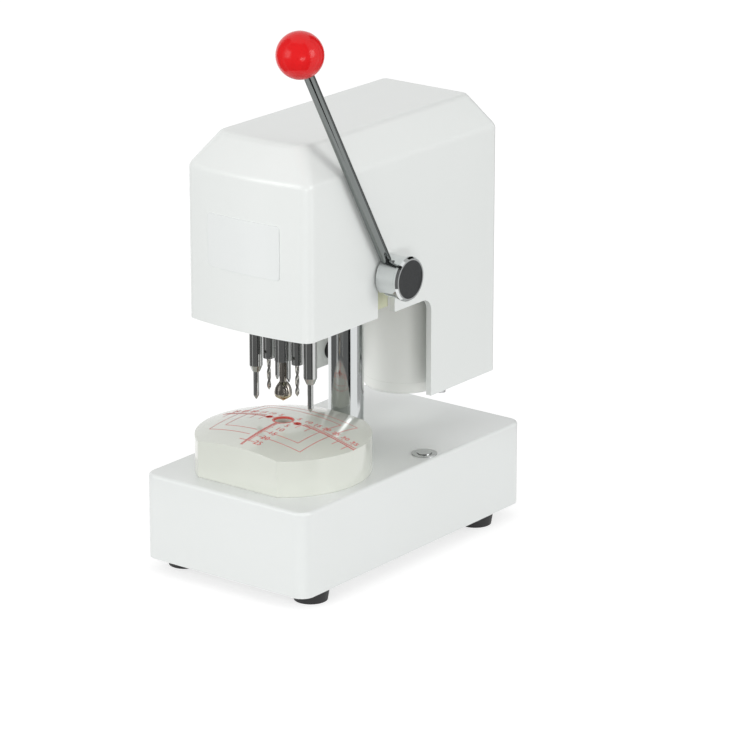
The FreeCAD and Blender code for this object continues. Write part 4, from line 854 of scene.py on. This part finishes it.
def seenStraight(tree):
    # 1 for what the camera sees itself, mirrored or through glass
    ray = addNode(tree, "ShaderNodeLightPath")
    seen = addNode(tree, "ShaderNodeMath", operation="MAXIMUM")
    seenToo = addNode(tree, "ShaderNodeMath", operation="MAXIMUM")
    tree.links.new(ray.outputs["Is Camera Ray"], seen.inputs[0])
    tree.links.new(ray.outputs["Is Glossy Ray"], seen.inputs[1])
    tree.links.new(seen.outputs["Value"], seenToo.inputs[0])
    tree.links.new(ray.outputs["Is Transmission Ray"], seenToo.inputs[1])
    return seenToo.outputs["Value"]


def buildWorld():
    world = bpy.data.worlds.new("studioAir")
    bpy.context.scene.world = world
    world.use_nodes = True
    tree = world.node_tree
    back = tree.nodes["Background"]
    out = tree.nodes["World Output"]
    white = addNode(tree, "ShaderNodeBackground")
    mix = addNode(tree, "ShaderNodeMixShader")
    back.inputs["Color"].default_value = (1.0, 1.0, 1.0, 1.0)
    back.inputs["Strength"].default_value = studio["worldLevel"]
    white.inputs["Color"].default_value = (1.0, 1.0, 1.0, 1.0)
    white.inputs["Strength"].default_value = 1.0
    tree.links.new(seenStraight(tree), mix.inputs["Fac"])
    tree.links.new(back.outputs["Background"], mix.inputs[1])
    tree.links.new(white.outputs["Background"], mix.inputs[2])
    tree.links.new(mix.outputs["Shader"], out.inputs["Surface"])


def floorMaterial():
    # a pale paper floor that keeps the shadow and otherwise reads white
    material = bpy.data.materials.new("paperFloor")
    material.use_nodes = True
    tree = material.node_tree
    surface = tree.nodes["Principled BSDF"]
    out = tree.nodes["Material Output"]
    surface.inputs["Base Color"].default_value = (*studio["floorColour"], 1.0)
    surface.inputs["Roughness"].default_value = 0.9
    surface.inputs["Specular IOR Level"].default_value = 0.0
    glow = addNode(tree, "ShaderNodeEmission")
    amount = addNode(tree, "ShaderNodeMath", operation="MULTIPLY")
    both = addNode(tree, "ShaderNodeAddShader")
    amount.inputs[1].default_value = studio["floorGlow"]
    tree.links.new(seenStraight(tree), amount.inputs[0])
    tree.links.new(amount.outputs["Value"], glow.inputs["Strength"])
    tree.links.new(surface.outputs["BSDF"], both.inputs[0])
    tree.links.new(glow.outputs["Emission"], both.inputs[1])
    tree.links.new(both.outputs["Shader"], out.inputs["Surface"])
    return material


def buildFloor():
    # a wide flat sheet of paper, just under the feet
    builder = bmesh.new()
    reach = studio["floorReach"]
    corners = ((-reach, -reach), (reach, -reach), (reach, reach), (-reach, reach))
    builder.faces.new([builder.verts.new((x, y, -studio["floorDrop"])) for x, y in corners])
    mesh = bpy.data.meshes.new("paperFloor")
    builder.to_mesh(mesh)
    builder.free()
    floor = bpy.data.objects.new("paperFloor", mesh)
    bpy.context.scene.collection.objects.link(floor)
    mesh.materials.append(floorMaterial())


def addLamp(name, place, width, height, power):
    lamp = bpy.data.lights.new(name, "AREA")
    lamp.shape = "RECTANGLE"
    lamp.size = width
    lamp.size_y = height
    lamp.energy = power
    holder = bpy.data.objects.new(name, lamp)
    holder.location = place
    holder.rotation_euler = (Vector(studio["aim"]) - Vector(place)).to_track_quat("-Z", "Y").to_euler()
    bpy.context.scene.collection.objects.link(holder)


def wallMaterial(level):
    name = "studioWall" + str(round(level * 100))
    material = bpy.data.materials.get(name)
    if material is None:
        material = bpy.data.materials.new(name)
        material.use_nodes = True
        tree = material.node_tree
        tree.nodes.remove(tree.nodes["Principled BSDF"])
        glow = addNode(tree, "ShaderNodeEmission")
        glow.inputs["Color"].default_value = (level, level, level, 1.0)
        tree.links.new(glow.outputs["Emission"], tree.nodes["Material Output"].inputs["Surface"])
    return material


def addWall(name, first, last, low, high, level):
    # a curved studio flag round the machine that only polished surfaces show
    builder = bmesh.new()
    steps = studio["wallSteps"]
    ahead = math.radians(studio["yaw"]) - math.pi / 2  # towards the camera
    rings = []
    for index in range(steps + 1):
        angle = ahead + math.radians(first + (last - first) * index / steps)
        x, y = studio["wallReach"] * math.cos(angle), studio["wallReach"] * math.sin(angle)
        rings.append((builder.verts.new((x, y, low)), builder.verts.new((x, y, high))))
    for start, end in zip(rings, rings[1:]):
        builder.faces.new((start[0], end[0], end[1], start[1]))
    mesh = bpy.data.meshes.new(name)
    builder.to_mesh(mesh)
    builder.free()
    wall = bpy.data.objects.new(name, mesh)
    bpy.context.scene.collection.objects.link(wall)
    mesh.materials.append(wallMaterial(level))
    wall.visible_camera = False
    wall.visible_diffuse = False
    wall.visible_shadow = False
    wall.visible_transmission = False


def buildStudio():
    buildWorld()
    buildFloor()
    for name, lamp in studio["lamps"].items():
        addLamp(name, *lamp)
    for name, wall in studio["walls"].items():
        addWall(name, *wall)


def buildCamera():
    yaw = math.radians(studio["yaw"])
    pitch = math.radians(studio["pitch"])
    ahead = Vector((-math.sin(yaw) * math.cos(pitch), math.cos(yaw) * math.cos(pitch), -math.sin(pitch)))
    camera = bpy.data.objects.new("camera", bpy.data.cameras.new("camera"))
    camera.data.lens = studio["focal"]
    camera.data.sensor_width = studio["sensor"]
    camera.data.clip_end = studio["farthest"]
    camera.location = Vector(studio["target"]) - ahead * studio["distance"]
    camera.rotation_euler = (math.pi / 2 - pitch, 0.0, yaw)
    bpy.context.scene.collection.objects.link(camera)
    bpy.context.scene.camera = camera


buildStudio()
buildCamera()
bpy.context.scene.view_settings.view_transform = "Standard"
print("studio made")
